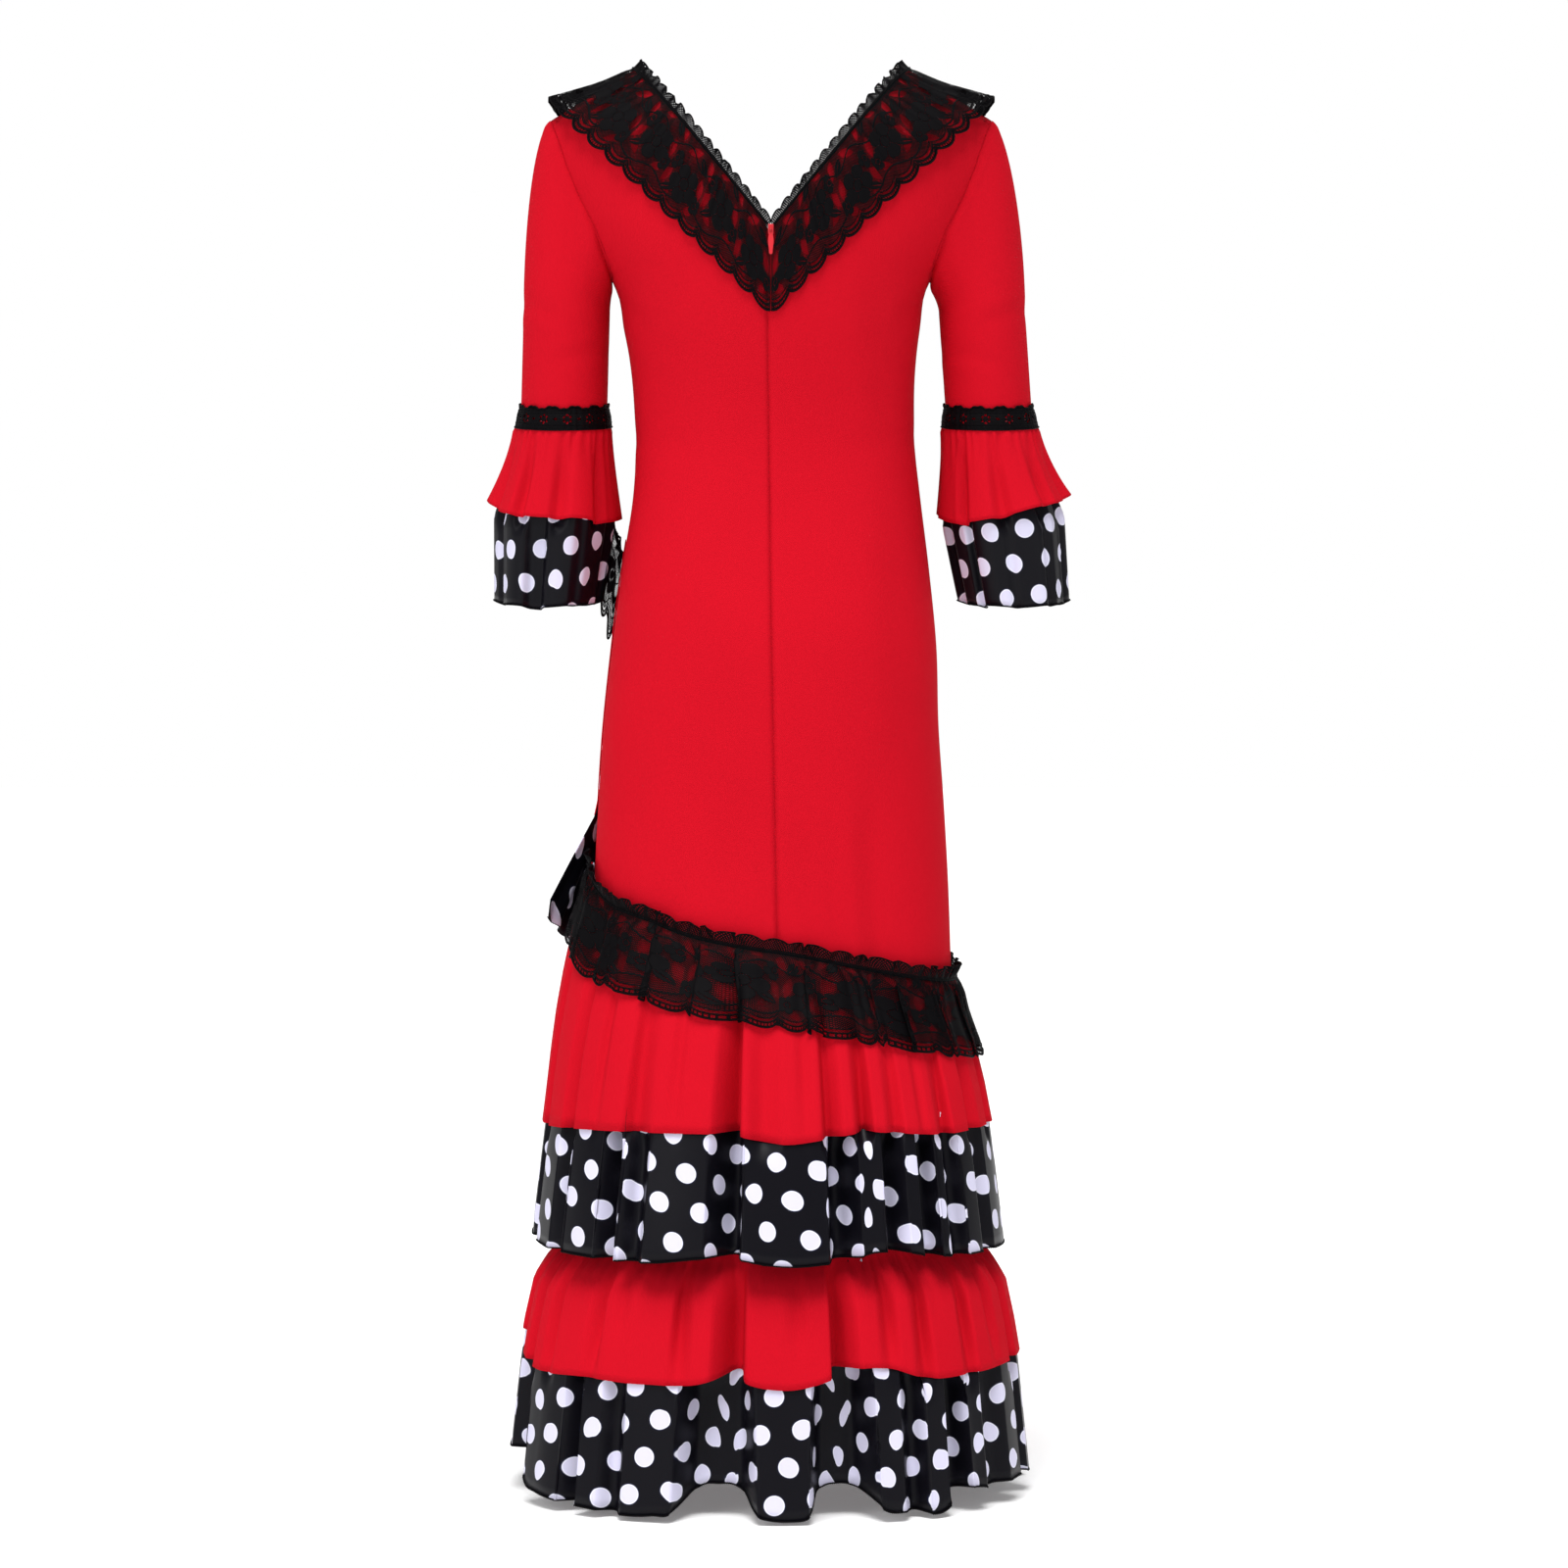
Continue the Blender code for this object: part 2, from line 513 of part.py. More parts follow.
def add_lace_band(name, tier, degrees, widths, red_length, closed, lace, core):
    """A lace band with a short heading above its stitching and a scalloped lower edge."""
    out = -(LACE_WALL + SEAM_GAP) * np.ones_like(degrees)
    seam, upper, lower = shared_drops(red_length)
    heading = tier_points(tier, degrees, seam, out, core) + np.array([0, 0, HEADING])
    middle = tier_points(tier, degrees, np.minimum(upper, widths * 0.6), out, core)
    notched = np.arange(len(degrees)) % 2 == 0
    ends = tier_points(tier, degrees, widths - SCALLOP_DEPTH * notched, out - LACE_EDGE_LIFT, core)
    lobe = tier_points(tier, degrees, widths - SCALLOP_DEPTH * 0.3, out - LACE_EDGE_LIFT, core)
    between = (lobe + np.roll(lobe, -1, axis=0)) / 2
    edge = np.stack([ends, between], axis=1).reshape(-1, 3)
    if not closed:
        edge = edge[:-1]
    add_cloth(name, [np.array([heading, middle])], closed, LACE_WALL, lace, (0, 0, 0), edge)


def seam_height(tier, degrees):
    return smooth(tier.seam, wrap(tier, degrees))


def tier1_core(degrees, z):
    """Room that the first tier leaves for the skirt and for the top of the second tier."""
    return 3 + 9 * smoothstep(-1040, -1075, z)


def tier2_core(degrees, z):
    return 3 + 0 * z


def hip_core(degrees, z):
    """Room that the hip tier leaves for the first tier below it."""
    below = seam_height(TIER1, degrees) - z
    stand = np.interp(below, TIER1.stand_drop, TIER1.stand_out) * TIER1.front_out
    return np.where(below > -HEADING - 4, stand + 6, 3)


def build_tiers(red, spotted, lace):
    for name, tier, core, red_hem, dot_hem in (
            ("tier1", TIER1, tier1_core, TIER1_RED_HEM, TIER1_DOT_HEM),
            ("tier2", TIER2, tier2_core, TIER2_RED_HEM, TIER2_DOT_HEM)):
        degrees = stations(tier.folds, -90, 270, 9)[:-1]
        seam = seam_height(tier, degrees)
        red_length = seam - smooth(red_hem, degrees)
        dot_length = seam - smooth(dot_hem, degrees)
        upper = flounce(tier, degrees, [red_length], 0, core)
        lower = flounce(tier, degrees, [red_length, dot_length], 1, core)
        add_cloth(name + "_red", [upper], True, CLOTH_WALL, red, (0, 0, 0))
        add_cloth(name + "_dot", [lower], True, CLOTH_WALL, spotted, (0, 0, 0))
        if tier is TIER1:
            widths = smooth(TIER1_LACE_WIDTH, degrees)
            add_lace_band("tier1_lace", tier, degrees, widths, red_length, True, lace, core)


def build_hip(red, spotted, lace):
    """The diagonal tier across the front, from the left side seam down to the right."""
    degrees = stations(HIP_FOLDS, HIP_SEAM[0][0], HIP_SEAM[-1][0], 7)
    red_length = smooth(HIP_RED_WIDTH, degrees)
    dot_length = smooth(HIP_DOT_WIDTH, degrees)
    upper = flounce(HIP, degrees, [red_length], 0, hip_core)
    lower = flounce(HIP, degrees, [red_length, dot_length], 1, hip_core)
    add_cloth("hip_red", [upper], False, CLOTH_WALL, red, (0, 0, 0))
    add_cloth("hip_dot", [lower], False, CLOTH_WALL, spotted, (0, 0, 0))
    widths = smooth(HIP_LACE_WIDTH, degrees)
    add_lace_band("hip_lace", HIP, degrees, widths, red_length, False, lace, hip_core)


def collar_path(side, s, across):
    """Points on the body under the collar: s runs from centre back (-1) to centre front (1)."""
    back = s < 0
    bottom = np.where(back, BACK_V, FRONT_V)
    up = 1 - s * s
    inner_x = NECK_POINT[0] * up
    inner_z = bottom + (NECK_POINT[1] - bottom) * up
    outer_x = COLLAR_END[0] * up
    outer_z = bottom - COLLAR_DROP + (COLLAR_END[1] - bottom + COLLAR_DROP) * up
    x = side * (inner_x + (outer_x - inner_x) * across)
    z = inner_z + (outer_z - inner_z) * across
    y = np.where(back, body_depth(x, z, -1), body_depth(x, z, 1))
    return stack(x, y, z)


def collar_points(side, s, across):
    """Points of the lace along the neckline, standing off the body, most at the shoulder."""
    step = 0.002
    here = collar_path(side, s, across)
    ahead = collar_path(side, np.minimum(s + step, 1), across)
    behind = collar_path(side, np.maximum(s - step, -1), across)
    in_by = collar_path(side, s, across - 0.02)
    out_by = collar_path(side, s, across + 0.02)
    normal = np.cross(ahead - behind, out_by - in_by)
    normal /= np.maximum(np.linalg.norm(normal, axis=-1, keepdims=True), 1e-9)
    away = here * np.array([1, 1, 0]) + np.array([0, 0, 1]) * (1 - np.abs(s))[:, None] * 200
    normal *= np.sign((normal * away).sum(axis=-1, keepdims=True))
    up = 1 - s * s
    raised = COLLAR_LIFT * smoothstep(0.55, 1, up) * across ** 1.5
    bow = np.sin(math.pi * np.clip(across * 0.75, 0, 1))
    rest = LACE_WALL + SEAM_GAP + COLLAR_CLEAR + COLLAR_REST * bow
    return here + normal * (rest + raised)[..., None]


def build_collar(side_name, side, lace):
    """Scalloped lace along the neckline, from centre back over the shoulder to centre front."""
    dense = np.linspace(-1, 1, 801)
    edge = collar_path(side, dense, 1.0)
    walked = np.concatenate([[0], np.cumsum(np.linalg.norm(np.diff(edge, axis=0), axis=1))])
    scallops = round(walked[-1] / SCALLOP_PITCH)
    columns = scallops * 2
    s = np.interp(np.linspace(0, walked[-1], columns + 1), walked, dense)
    fine = np.interp(np.linspace(0, walked[-1], columns * 2 + 1), walked, dense)
    place = np.arange(columns * 2 + 1) % 4
    notch = np.choose(place, [1, 0.3, 0, 0.3]) * SCALLOP_DEPTH / COLLAR_DROP
    grid = np.array([collar_points(side, s, across + 0 * s) for across in COLLAR_ROWS])
    edge = collar_points(side, fine, 1 - notch)
    for row in (*grid, edge):
        row[0, 0] = row[-1, 0] = side * SEAM_GAP
    add_cloth("collar_" + side_name, [grid], False, LACE_WALL, lace, (0, 0, 0), edge)


def join(target, other):
    """Boolean union of two solids into the first one."""
    union = target.modifiers.new("join", "BOOLEAN")
    union.operation = "UNION"
    union.object = other
    bpy.context.view_layer.update()
    seen = bpy.context.evaluated_depsgraph_get()
    merged = bpy.data.meshes.new_from_object(target.evaluated_get(seen))
    target.modifiers.clear()
    target.data = merged
    bpy.data.objects.remove(other)


def pull_outline():
    """Outline of the teardrop tab, hanging from its hinge at 0, and of its eye."""
    half = PULL_WIDTH / 2
    top = PULL_THICKNESS / 2
    tip = -PULL_LENGTH + half
    side = []
    for step in range(PULL_STEPS + 1):
        share = step / PULL_STEPS
        swell = PULL_NECK + (1 - PULL_NECK) * math.sin(math.pi * min(0.9, share * 1.04)) ** 2
        side.append((half * swell, -PULL_SHOULDER + share * (tip + PULL_SHOULDER)))
    rounded = []
    for step in range(1, PULL_TIP_STEPS):
        angle = math.pi * step / PULL_TIP_STEPS
        rounded.append((side[-1][0] * math.cos(angle), tip - half * 0.8 * math.sin(angle)))
    mirrored = [(-x, z) for x, z in reversed(side)]
    corner = half * PULL_TOP_SHARE
    tab = [(-corner, top), (corner, top)] + side + rounded + mirrored
    half_eye = EYE_WIDTH / 2
    eye_top = -top
    eye_foot = eye_top - EYE_LENGTH
    eye = [(-half_eye, eye_top), (half_eye, eye_top), (half_eye, eye_foot), (-half_eye, eye_foot)]
    return tab, eye


def build_slider(metal, axis, front):
    """Slider body with the bail that the tab hangs in."""
    width, thickness, height = SLIDER
    bpy.ops.mesh.primitive_cube_add(size=1, location=(0, 0, 0))
    slider = bpy.context.object
    slider.name = "zip_slider"
    slider.data.transform(Matrix.Diagonal((width * MM, thickness * MM, height * MM, 1)))
    slider.location = (0, (front + thickness / 2) * MM, SLIDER_Z * MM)
    bevel = slider.modifiers.new("edges", "BEVEL")
    bevel.width = SLIDER_EDGE * MM
    bevel.segments = 2
    bpy.ops.mesh.primitive_torus_add(major_radius=BAIL_RADIUS * MM, minor_radius=BAIL_WIRE * MM,
                                     major_segments=12, minor_segments=6,
                                     location=axis, rotation=(0, math.pi / 2, 0))
    join(slider, bpy.context.object)
    slider.data.materials.clear()
    slider.data.materials.append(metal)


def build_pull(metal, axis):
    """The tab, with its origin on its hinge."""
    outline = bpy.data.curves.new("zip_pull_outline", "CURVE")
    outline.dimensions = "2D"
    outline.fill_mode = "BOTH"
    outline.extrude = PULL_THICKNESS / 2 * MM
    for points in pull_outline():
        spline = outline.splines.new("POLY")
        spline.points.add(len(points) - 1)
        spline.use_cyclic_u = True
        for slot, (x, z) in zip(spline.points, points):
            slot.co = (x * MM, z * MM, 0, 1)
    flat = bpy.data.objects.new("zip_pull_flat", outline)
    dress.objects.link(flat)
    bpy.context.view_layer.update()
    seen = bpy.context.evaluated_depsgraph_get()
    mesh = bpy.data.meshes.new_from_object(flat.evaluated_get(seen))
    bpy.data.objects.remove(flat)
    work = bmesh.new()
    work.from_mesh(mesh)
    bmesh.ops.remove_doubles(work, verts=work.verts, dist=WELD * MM)
    work.to_mesh(mesh)
    work.free()
    mesh.materials.clear()
    mesh.materials.append(metal)
    pull = bpy.data.objects.new("zip_pull", mesh)
    pull.location = axis
    pull.rotation_euler = (math.pi / 2, 0, 0)
    dress.objects.link(pull)


def build_zip(metal):
    """Slider at the top of the centre-back zip, and the tab that hangs in it."""
    behind = body_depth(0.0, SLIDER_Z, -1) - SLIDER_STAND
    front = behind - SLIDER[1]
    axis = (0, (front - BAIL_RADIUS + BAIL_SUNK) * MM, SLIDER_Z * MM)
    build_slider(metal, axis, front)
    build_pull(metal, axis)


for old in list(bpy.data.objects):
    bpy.data.objects.remove(old)
dress = bpy.data.collections.new("flamenco_dress")
bpy.context.scene.collection.children.link(dress)

red_knit = material("red_knit", RED, 0.85)
spotted_satin = material("spotted_satin", BLACK, 0.45)
black_lace = material("black_lace", LACE_BLACK, 0.7)
red_enamel = material("red_enamel", RED, 0.35)

build_panels(red_knit)
for sleeve_name, sleeve_row in SLEEVES.items():
    build_sleeve("sleeve_" + sleeve_name, sleeve_row, red_knit)
    build_cuffs(sleeve_name, sleeve_row, red_knit, spotted_satin, black_lace)
    build_collar(sleeve_name, sleeve_row.side, black_lace)
build_tiers(red_knit, spotted_satin, black_lace)
build_hip(red_knit, spotted_satin, black_lace)
build_zip(red_enamel)
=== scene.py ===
"""Looks of a flamenco dress: fine folds and gathers, lace, spots, sewing, floor and light.

Metres, +Z up, in the frame of the solids.  The tables are in millimetres.
"""
import math
from collections import namedtuple

import bpy
import numpy as np
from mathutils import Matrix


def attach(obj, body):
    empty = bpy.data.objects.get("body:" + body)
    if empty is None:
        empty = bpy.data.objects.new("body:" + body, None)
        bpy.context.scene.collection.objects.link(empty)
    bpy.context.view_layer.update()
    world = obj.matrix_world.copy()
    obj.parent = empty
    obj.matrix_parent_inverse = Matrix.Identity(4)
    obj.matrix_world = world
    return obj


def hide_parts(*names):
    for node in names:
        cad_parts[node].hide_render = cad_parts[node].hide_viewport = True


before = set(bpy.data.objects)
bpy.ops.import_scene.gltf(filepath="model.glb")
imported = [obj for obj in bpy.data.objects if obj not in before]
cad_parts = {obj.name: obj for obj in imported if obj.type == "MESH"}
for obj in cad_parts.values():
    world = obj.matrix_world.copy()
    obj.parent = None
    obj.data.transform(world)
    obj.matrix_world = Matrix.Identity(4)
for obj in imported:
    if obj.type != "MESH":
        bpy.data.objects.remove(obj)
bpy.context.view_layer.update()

MM = 0.001
CLOTH_WALL = 1.2
LACE_WALL = 1.0
SEAM_GAP = 0.3
ROUNDNESS = 0.87        # power of sine and cosine that squares the body's sections a little

# Level sections of the body and its skirt, from the hem of the skirt up to the neck.
Section = namedtuple("Section", "z half_width back front centre")
BODY = [
    Section(-1330, 198, 160, 150, -2),
    Section(-1066, 183, 146, 134, -1),
    Section(-950, 175, 135, 124, 0),
    Section(-835, 169, 125, 115, 0),
    Section(-748, 166, 119, 109, 0),
    Section(-675, 162, 118, 106, 0),
    Section(-601, 157, 120, 104, 0),
    Section(-527, 152, 119, 102, 3),
    Section(-454, 144, 108, 97, 4),
    Section(-380, 134, 95, 92, 5),
    Section(-343, 131, 92, 93, 4),
    Section(-306, 131, 94, 97, 3),
    Section(-270, 133, 100, 106, 2),
    Section(-233, 138, 107, 114, 1),
    Section(-185, 149, 111, 106, 0),
    Section(-140, 178, 111, 100, 0),
    Section(-100, 197, 108, 93, 0),
    Section(-54, 220, 101, 86, 0),
    Section(20, 262, 90, 78, 0),
]

# Neckline of the cloth and armhole seam, as distance from the centre at each height.
NECK_POINT = (129, 14)
SHOULDER_POINT = (207, -33)
BACK_V = -146
FRONT_V = -178
ARMPIT = (149, -185)
SHOULDER_ROLL = 110     # height over which the shoulder rounds from back to front
ARMHOLE_Z = [-185, -175, -166, -140, -109, -82, -54, -33]
ARMHOLE_X = [149, 150.5, 153, 163, 179, 190, 199, 207]
CENTRE_SEAM_Z = [-1066, -794, -472, -224]
CENTRE_SEAM_X = [7, 6, 0, -3]

BODY_ROWS = [-1066, -985, -895, -820, -750, -675, -600, -530, -470, -425,
             -385, -345, -305, -270, -240]

# Lace along the neckline: width at the centre and at the shoulder, and the scalloped edge.
COLLAR_DROP = 80
COLLAR_END = (200, -28)
COLLAR_LIFT = 13
COLLAR_CLEAR = 0.6
COLLAR_REST = 1.2       # how far the middle of the lace stands off the cloth
SCALLOP_PITCH = 23
SCALLOP_DEPTH = 6

# Flounced tiers.  A tier stands out from the body by an amount that grows below its seam.
Fold = namedtuple("Fold", "angle half_width depth lean")
Tier = namedtuple("Tier", "seam stand_drop stand_out back_out front_out folds lift")

TIER1_SEAM = [(-90, -729), (-57, -766), (-37, -779), (-25, -790), (0, -806), (26, -822),
              (45, -831), (90, -835), (135, -812), (180, -780), (225, -750), (270, -729)]
TIER1_FOLDS = [
    Fold(-83, 6, 0.45, 0), Fold(-68, 6, 0.60, 2), Fold(-55, 6, 0.50, -2), Fold(-40, 5, 0.30, 0),
    Fold(-28, 6, 0.45, 2), Fold(-10.5, 6, 0.92, 4), Fold(4, 5, 0.35, 0), Fold(18.5, 6, 0.88, -3),
    Fold(30, 4.5, 0.40, 1), Fold(42, 6, 0.60, 2), Fold(55, 6, 0.45, 0), Fold(72, 7, 0.55, -2),
    Fold(92, 7, 0.50, 2), Fold(112, 7, 0.65, -3), Fold(131, 7, 0.55, 2), Fold(150, 7, 0.80, 3),
    Fold(169, 7, 0.50, 0), Fold(188, 7, 0.75, -3), Fold(207, 7, 0.55, 2), Fold(226, 7, 0.70, 3),
    Fold(246, 7, 0.50, -2),
]
TIER2_SEAM = [(-90, -1058), (270, -1058)]
TIER2_FOLDS = [
    Fold(-80, 6, 0.50, 2), Fold(-66, 6, 0.60, -2), Fold(-46, 6, 0.55, 2), Fold(-33, 5, 0.35, 0),
    Fold(-11, 8, 0.95, 3), Fold(4, 4, 0.20, 0), Fold(17, 8, 0.95, -3), Fold(35, 6, 0.45, 2),
    Fold(48, 7, 0.75, 3), Fold(65, 6, 0.55, -2), Fold(82, 6, 0.50, 0), Fold(101, 8, 0.75, 3),
    Fold(121, 7, 0.60, -2), Fold(141, 8, 0.85, 3), Fold(160, 7, 0.55, 0), Fold(180, 8, 0.85, -3),
    Fold(200, 7, 0.60, 2), Fold(219, 8, 0.80, 3), Fold(237, 7, 0.50, 0), Fold(255, 7, 0.65, -2),
]
HIP_SEAM = [(-240, -764), (-225, -740), (-180, -640), (-135, -522), (-94, -418)]
HIP_FOLDS = [
    Fold(-102, 5, 0.40, 0), Fold(-114, 6, 0.60, -2), Fold(-128, 6, 0.55, 2),
    Fold(-143, 7, 0.70, 3), Fold(-158, 7, 0.55, -2), Fold(-174, 7, 0.70, 2),
    Fold(-190, 7, 0.60, 0), Fold(-206, 7, 0.55, -2), Fold(-222, 6, 0.45, 2),
]
TIER1 = Tier(TIER1_SEAM, [0, 30, 60, 97, 134, 170, 240, 320], [3.6, 10, 19, 26, 31, 34, 38, 41],
             1.55, 1.10, TIER1_FOLDS, 6)
TIER2 = Tier(TIER2_SEAM, [0, 23, 40, 58, 95, 130, 245, 280], [3.5, 11, 25, 35, 41, 45, 51, 52],
             1.05, 1.00, TIER2_FOLDS, 32)
HIP = Tier(HIP_SEAM, [0, 35, 70, 110, 160, 260, 363, 400], [4, 8, 14, 24, 33, 41, 47, 48],
           1.15, 1.15, HIP_FOLDS, 5)
HIP_HELD_DROP = [0, 35, 255, 340, 400]     # its end is caught in the left side seam, down to
HIP_HELD_OUT = [3, 3.4, 3.6, 45, 50]          # where the spotted flounce flares out
HIP_FREE = 150          # the angle from the back at which it hangs free of that seam

# How far each layer hangs below its seam, at each angle round the body.
TIER1_LACE_WIDTH = [(-90, 70), (0, 68), (90, 72), (180, 70), (270, 70)]
HIP_LACE_WIDTH = [(-240, 26), (-225, 50), (-180, 70), (-135, 72), (-94, 72)]
HIP_RED_WIDTH = [(-240, 30), (-225, 60), (-180, 165), (-135, 225), (-94, 262)]
HIP_DOT_WIDTH = [(-240, 36), (-225, 76), (-180, 230), (-135, 310), (-94, 360)]
LACE_EDGE_LIFT = 0.6    # the scalloped edge stands a little off the cloth under it
HEADING = 10            # how far the lace stands above its own stitching
LAYER_GAP = 5           # between a red flounce and the spotted one under it
LAYER_DROP = 40         # the depth below the seam at which that gap is reached

# Sleeves and cuffs, one row a side.
Sleeve = namedtuple("Sleeve", "side tube_x cuff_x red_hem_x red_radius dot_hem_x dot_radius")
SLEEVES = {
    "left": Sleeve(-1, -192, -195, -204, 57, -210, 51),
    "right": Sleeve(1, 198, 205, 218, 58, 229, 52),
}
TUBE_RADIUS_X = 40.5
TUBE_RADIUS_Y = 46
TUBE_TOP = -215
CUFF_SEAM = -312
ARM_LEAN = 26           # how far forward of the shoulder the arm is at the cuff's hem
RED_CUFF_LENGTH = 93
DOT_CUFF_LENGTH = 172
CUFF_WAVES = 6
CUFF_TILT = 0.12        # how much lower the back of the cuff's rings is, for the bent arm
BAND_ABOVE = 12
BAND_BELOW = 8
CUFF_SETTLED = 60       # depth at which the spotted layer hangs clear of the red one
CUFF_LOOSE = 0.25       # air between the layers where they are sewn to the sleeve
SLEEVE_LEAVE = (16, 0, -15)     # how the sleeve sets off from the shoulder, and from the armpit
ARMPIT_LEAVE = (0, 0, -9)
SHOULDER_EASE = 0.6

# Colours.
RED_LIGHT = (0.585, 0.0048, 0.0155)
RED_DEEP = (0.485, 0.0038, 0.0130)
SATIN = (0.0035, 0.0032, 0.0055)
DOT = (0.66, 0.645, 0.82)
DOT_RIM = (0.78, 0.78, 0.90)
DOT_HALO = (0.010, 0.011, 0.030)
LACE_TONE = (0.0022, 0.0018, 0.0024)
ENAMEL = (0.62, 0.012, 0.022)

# Patterns on the cloth: the knit's ribs, the spots' staggered columns and rows, and how far each
# spotted piece is turned on the cloth, in degrees.
RIB_PITCH = 1.5
DOT_RADIUS = 8.9
DOT_COLUMNS = 33.0
DOT_ROWS = 36.0
CUFF_BIAS = 24
TIER1_BIAS = 24
TIER2_BIAS = -20

# Lace: its net and how much of it is thread, its flowers, the eyelets of the sleeve bands, the
# waves of its headings, and its widths.
NET_PITCH = 1.7
NET_SHARE = 0.40
FINE_NET_SHARE = 0.10
HEADING_NET = 2.6
HEADING_SHARE = 0.62
LACE_MOTIF = 50.0
EYELET_PITCH = 23.0
EYELET_RISE = 9.5
HEADING_SHOWN = 12.0
HEADING_BUMP = 24.0
NECK_BUMP = 19.0
FRILL_SHARE = 0.12
LACE_COLLAR_WIDTH = 72.0
LACE_BAND_WIDTH = 70.0

# Gathers of the lace bands: length before gathering to length after, the pleats' pitch, how far
# they sway to the side and stand out, and the share of the red flounce's folds they follow.
LACE_FULLNESS = 1.15
LACE_PLEAT = 46.0
LACE_SWAY = 8.5
LACE_RISE = 1.9
LACE_DEPTH_SHARE = 0.6

# Seams, laps and hems as drawn.
SEAM_SINK = 0.9
SEAM_CROWDING = 1.0
SIDE_LAP = 0.15
CENTRE_LAP = 0.1
ALLOWANCE_INSIDE = 1.6
ALLOWANCE_RINGS = (7.0, 3.5, 0.8)       # how far the armhole's allowance reaches into the body
LAYER_GAP_SHOWN = 2.8
HIP_LACE_OUT = 9        # how far the end of the front tier's lace stands off
HIP_TUCKED = 3          # how much shorter its flounces are there than its lace, in degrees
CUFF_HEM_RISE = {"left": 13, "right": 22}

# How finely each piece is divided.  A covered layer has to keep as many rows as its neighbour's
# curve needs, or it shows through.
BACK_COLUMNS = 46
BACK_SPACING = 9
FRONT_COLUMNS = 40
FRONT_SPACING = 11
TIER_COLUMNS = 720
HIP_COLUMNS = 300
RED_ROWS = 20
HIDDEN_ROWS = 12
SHOWN_ROWS = 14
SHOWN_FROM = 15         # height above the red hem at which the spotted layer's shown rows begin
HEADING_ROWS = 8
LACE_ROWS = 22
COLLAR_COLUMNS = 420
CUFF_COLUMNS = 264
CUFF_ROWS = {"red": 22, "dot": 28}
BAND_ROWS = 15

# Floor, light and camera; the camera's place is in metres.
FLOOR_Z = -1312
FLOOR_GLOW = 0.17
AMBIENT = 0.27
SUN_POWER = 3.3
SUN_SPREAD = 38
SUN_HEIGHT = 68
SUN_SIDE = -6
KEY_POWER = 42
FILL_POWER = 6
BACK_POWER = 10
CAMERA_PLACE = (0.012, -4.0, -0.573)
CAMERA_LENS = 97.8
CAMERA_SHIFT = -0.05625

# Folds of the flounces: angle from the back, half of its width, depth, how far it leans over,
# the flat share of its floor, how much wider it is at the hem, and where it fades out.
Wave = namedtuple("Wave", "angle half_width depth lean flat spread until")
FAR_FOLDS = [
    Wave(92, 6, 0.50, 2, 0.1, 1.2, 0), Wave(112, 6, 0.65, -3, 0.2, 1.3, 0),
    Wave(131, 5, 0.55, 2, 0.1, 1.2, 0), Wave(150, 7, 0.80, 3, 0.3, 1.3, 0),
    Wave(169, 5, 0.50, 0, 0.1, 1.2, 0), Wave(188, 6, 0.75, -3, 0.2, 1.4, 0),
    Wave(207, 5, 0.55, 2, 0.1, 1.2, 0), Wave(226, 6, 0.70, 3, 0.3, 1.3, 0),
    Wave(246, 5, 0.50, -2, 0.1, 1.2, 0),
]
TIER1_RED_WAVES = [
    Wave(-76, 4.0, 0.45, 1, 0, 1, 0), Wave(-57, 4.0, 0.50, 5, 0, 1, 0),
    Wave(-44, 2.6, 0.18, 0, 0, 1, 230), Wave(-30, 4.5, 0.32, -4, 0, 1.2, 0),
    Wave(-20, 2.6, 0.14, 0, 0, 1, 210), Wave(-8, 3.2, 0.92, 8.5, 0, 1.2, 0),
    Wave(-1, 3.2, 0.22, 0, 0, 1, 0), Wave(6, 2.2, 0.14, 0, 0, 1, 200),
    Wave(11.8, 2.8, 0.46, -3, 0, 1, 0), Wave(19.4, 2.9, 0.50, 3, 0, 1, 0),
    Wave(28, 3.2, 0.28, 2.5, 0, 1.1, 0), Wave(37, 2.4, 0.14, 0, 0, 1, 220),
    Wave(45, 4.0, 0.42, 5, 0, 1.1, 0), Wave(61, 4.5, 0.38, -4, 0, 1.1, 0),
    Wave(76, 4.0, 0.42, 0, 0, 1.1, 0), *FAR_FOLDS,
]
TIER1_DOT_WAVES = [
    Wave(-78, 4.0, 0.40, 1, 0, 1, 0), Wave(-58, 4.0, 0.52, 5, 0, 1, 0),
    Wave(-37, 3.0, 0.62, 5, 0, 1.1, 0), Wave(-29, 3.4, 0.35, 0, 0, 1, 0),
    Wave(-8, 3.2, 0.92, 8, 0, 1.1, 0), Wave(14.0, 3.6, 0.75, -3, 0.1, 1, 0),
    Wave(27, 3.0, 0.70, -3, 0, 1.1, 0), Wave(37, 2.8, 0.66, 4, 0, 1.1, 0),
    Wave(47, 4.0, 0.45, 4, 0, 1, 0), Wave(63, 5.0, 0.45, 0, 0, 1, 0), *FAR_FOLDS,
]
